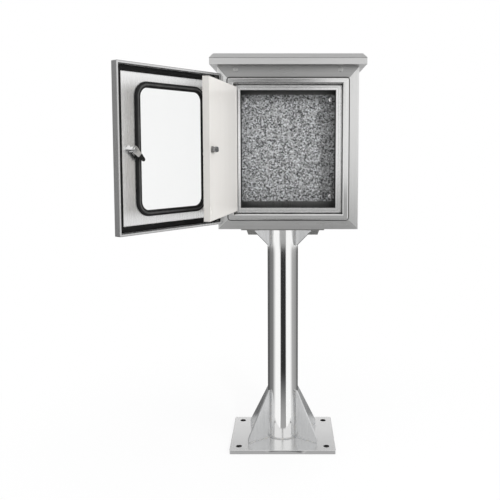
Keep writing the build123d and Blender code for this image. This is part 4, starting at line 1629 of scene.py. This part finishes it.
@dataclass
class InnerDoor:
    """The inner door: a polished sheet with its knuckles and lock."""

    nodes: dict[str, bpy.types.Object]
    frame: Frame = Frame((-0.1645, -0.078, 0.813), math.radians(-99.06))
    middle: Pair = (0.1845, 0.285)
    size: Pair = (0.362, 0.442)

    def build(self) -> None:
        """Dress the door's nodes."""
        # Painted shade on the rim of the door's sheet.
        sheet = PolishedSteel(
            "inner_door_filmed_steel",
            tone=(0.72, 0.70, 0.67),
            rough=0.20,
            metal=0.0,
            specular=0.15,
            wave=0.0003,
            frame=self.frame,
            shades=(RimShade(0.72, self.middle, self.size, SKIN),),
        )
        dress(self.nodes, sheet.build(), "inner_door_panel")
        dress(self.nodes, BrushedSteel("inner_knuckle_steel").build(), *at(LEVELS, "inner_knuckle"))
        lock = at(("housing", "nut", "core", "cam"), "inner_lock")
        plating = BrightPlating("inner_lock_plating", tone=(0.28, 0.28, 0.28)).build()
        dress(self.nodes, plating, *lock, "inner_cam_screw")


# The studio


@dataclass(frozen=True)
class Lamp:
    """A soft rectangular lamp that looks at a point."""

    name: str
    place: Triple
    target: Triple
    size: Pair
    watts: float

    def build(self) -> None:
        """Add the lamp to the scene."""
        light = bpy.data.lights.new(self.name, "AREA")
        light.shape = "RECTANGLE"
        light.size, light.size_y = self.size
        light.energy = self.watts
        lamp = linked(self.name, light)
        lamp.visible_glossy = False
        lamp.location = self.place
        aim = Vector(self.target) - Vector(self.place)
        lamp.rotation_euler = aim.to_track_quat("-Z", "Y").to_euler()


@dataclass(frozen=True)
class Flag:
    """A studio cloth that only gloss shows, in a sector round the object.

    Start and end are in degrees from the front, greys are at those two sides, and levels are the radius
    and height of each edge. Soft is the fade at both sides in degrees. Near is a paler inner part: the
    radii between which it fades out, and how much paler it is.
    """

    name: str
    start: float
    end: float
    greys: Pair
    levels: tuple[Pair, Pair]
    soft: float = 0.0
    near: Triple | None = None
    steps: int = 12
    lift: float = 0.002

    def build(self) -> None:
        """Add the cloth to the scene as stage equipment."""
        span = math.radians(self.end - self.start) / self.steps
        turns = [math.radians(self.start) + span * step for step in range(self.steps + 1)]
        points = [(r * math.sin(a), -r * math.cos(a), z) for r, z in self.levels for a in turns]
        row = len(turns)
        quads = [(i, i + 1, row + i + 1, row + i) for i in range(self.steps)]
        mesh = bpy.data.meshes.new(self.name)
        mesh.from_pydata(points, [], quads)
        mesh.materials.append(self.cloth())
        card = linked(self.name, mesh)
        card.location = (0, 0, self.lift)
        card.visible_camera = False
        card.visible_diffuse = False
        card.visible_transmission = False
        card.visible_shadow = False

    def cloth(self) -> Material:
        """Make the cloth's material, a glow that goes from one grey to the other.

        Returns:
            The material.
        """
        material, graph = new_material(self.name + "_cloth")
        x, y, _ = graph.split(graph.place())
        turn = x.math("ARCTAN2", y * -1.0)
        low, high, soft = (math.radians(angle) for angle in (self.start, self.end, self.soft))
        grey = turn.ramp(low, high, *self.greys)
        if self.soft:
            faded = turn.ramp(low, low + soft) * turn.ramp(high - soft, high, 1.0, 0.0)
            grey = 1 - faded * (1 - grey)
        if self.near:
            start, end, paler = self.near
            grey = grey + (x * x + y * y).math("SQRT").ramp(start, end, paler, 0.0)
        shine = graph.node("ShaderNodeEmission", None, {"Color": graph.grey(grey), "Strength": 1.0})
        graph.node("ShaderNodeOutputMaterial", None, {"Surface": shine})
        return material


@dataclass
class Studio:
    """Pale floor, white surroundings, soft lamps and the camera.

    The floor glows less near the object, so that its shadow shows: shadow holds the radii where the glow
    starts to rise and is whole, and its share within the first. Under the base plate it doesn't glow.
    """

    camera_place: Triple = (0.0159, -2.4294, 1.098)
    camera_pitch: float = math.radians(4.86)
    focal_pixels: float = 654.1
    shift_pixels: Pair = (-37.0, -45.0)
    image_pixels: int = 500
    sensor: float = 36.0
    ambient: Colour = (0.48, 0.48, 0.485)
    paper: float = 0.88
    floor_reach: float = 12.0
    floor_drop: float = 0.0005
    plate_half: Pair = (0.190, 0.147)
    shadow: tuple[float, float, float] = (0.15, 1.3, 0.86)
    lamps: tuple[Lamp, ...] = (
        Lamp("key_softbox", (1.55, -4.2, 2.1), (0, 0, 1.0), (0.4, 0.4), 98.0),
        Lamp("left_softbox", (-2.2, -2.0, 2.2), (0, 0, 0.9), (1.6, 2.2), 13.0),
        Lamp("right_softbox", (2.4, -1.6, 1.9), (0, 0, 0.8), (1.4, 2.2), 32.0),
        Lamp("top_softbox", (0.2, -0.4, 3.4), (0, 0, 0.8), (2.4, 2.0), 24.0),
        Lamp("rear_softbox", (0.4, 2.6, 2.4), (0, 0, 0.9), (2.2, 1.8), 22.0),
    )
    flags: tuple[Flag, ...] = (
        Flag("front_cloth", -20.0, 27.0, (0.03, 0.03), ((0.17, 0.0), (5.0, 0.0)), 7.0, (0.17, 0.9, 0.34)),
        Flag("front_low_card", -24.0, 24.0, (0.45, 0.45), ((5.0, 0.0), (5.0, 0.7))),
        Flag("front_high_card", -8.0, 4.0, (0.22, 0.22), ((5.0, 1.6), (5.0, 2.4))),
        Flag("right_edge_cloth", 54.0, 80.0, (1.0, 0.40), ((0.2, 0.0), (5.0, 0.0))),
        Flag("right_cloth", 80.0, 126.0, (0.40, 0.28), ((0.2, 0.0), (5.0, 0.0))),
        Flag("left_edge_cloth", -84.0, -48.0, (0.20, 1.0), ((0.2, 0.0), (5.0, 0.0))),
        Flag("left_cloth", -118.0, -84.0, (0.16, 0.20), ((0.2, 0.0), (5.0, 0.0))),
        Flag("left_wall", -124.0, -74.0, (0.42, 0.60), ((5.0, 0.0), (5.0, 2.8))),
        Flag("rear_right_cloth", 126.0, 175.0, (0.12, 0.10), ((0.3, 0.0), (5.0, 0.0))),
        Flag("rear_left_cloth", -175.0, -118.0, (0.10, 0.10), ((0.3, 0.0), (5.0, 0.0))),
        Flag("rear_high_cloth", 150.0, 210.0, (0.42, 0.42), ((4.0, 1.9), (4.0, 4.6))),
    )

    def build(self) -> None:
        """Build the whole studio."""
        self.world()
        self.floor()
        for item in (*self.lamps, *self.flags):
            item.build()
        self.camera()
        bpy.context.scene.view_settings.view_transform = "Standard"

    @staticmethod
    def seen(graph: Graph) -> Sock:
        """Give 1 for rays of the camera, of gloss and through glass."""
        path = graph.node("ShaderNodeLightPath", out="Is Camera Ray")
        return path.most(path.other("Is Glossy Ray")).most(path.other("Is Transmission Ray"))

    def world(self) -> None:
        """Surround the object with plain white."""
        world = bpy.data.worlds.new("studio_white")
        bpy.context.scene.world = world
        world.use_nodes = True
        graph = Graph(world.node_tree)
        colour = graph.mix(self.seen(graph), self.ambient, (1.0, 1.0, 1.0))
        light = graph.node("ShaderNodeBackground", None, {"Color": colour, "Strength": 1.0})
        graph.node("ShaderNodeOutputWorld", None, {"Surface": light})

    def floor(self) -> None:
        """Lay a pale floor that keeps the object's shadow."""
        mesh = bpy.data.meshes.new("studio_floor")
        corners = [(a * self.floor_reach, b * self.floor_reach, 0) for a, b in QUARTERS]
        mesh.from_pydata(corners, [], [(0, 1, 2, 3)])
        floor = linked("studio_floor", mesh)
        floor.location = (0, 0, -self.floor_drop)
        material, graph = new_material("floor_paper")
        paper = graph.node("ShaderNodeBsdfDiffuse", None, {"Color": (*(self.paper,) * 3, 1.0)})
        glow = graph.node("ShaderNodeEmission", None, {"Color": (1.0, 1.0, 1.0, 1.0), "Strength": 1.0})
        place = graph.place()
        x, y, _ = graph.split(place)
        under = (abs(x) < self.plate_half[0]) * (abs(y) < self.plate_half[1])
        away = graph.node("ShaderNodeVectorMath", {"operation": "LENGTH"}, {0: place}, "Value")
        share = self.seen(graph) * away.ramp(*self.shadow, 1.0) * (1 - under)
        both = graph.node("ShaderNodeMixShader", None, {0: share, 1: paper, 2: glow})
        graph.node("ShaderNodeOutputMaterial", None, {"Surface": both})
        mesh.materials.append(material)

    def camera(self) -> None:
        """Set the camera at the photograph's angle."""
        lens = bpy.data.cameras.new("photo_camera")
        lens.sensor_width = self.sensor
        lens.lens = self.focal_pixels * self.sensor / self.image_pixels
        lens.shift_x, lens.shift_y = (shift / self.image_pixels for shift in self.shift_pixels)
        lens.clip_start, lens.clip_end = 0.05, 60.0
        camera = linked("photo_camera", lens)
        camera.location = self.camera_place
        camera.rotation_euler = (math.pi / 2 - self.camera_pitch, 0.0, 0.0)
        bpy.context.scene.camera = camera


def main() -> None:
    """Load the frame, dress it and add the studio."""
    logging.basicConfig(level=logging.INFO, format="%(name)s: %(message)s")
    for item in list(bpy.data.objects):
        bpy.data.objects.remove(item)
    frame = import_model()
    nodes = frame["nodes"]
    rules = Rules()
    Post(nodes, rules).build()
    Box(nodes, rules).build()
    OuterDoor(nodes, rules).build()
    InnerDoor(nodes).build()
    Studio().build()
    LOG.info("sizes written")


if __name__ == "__main__":
    main()
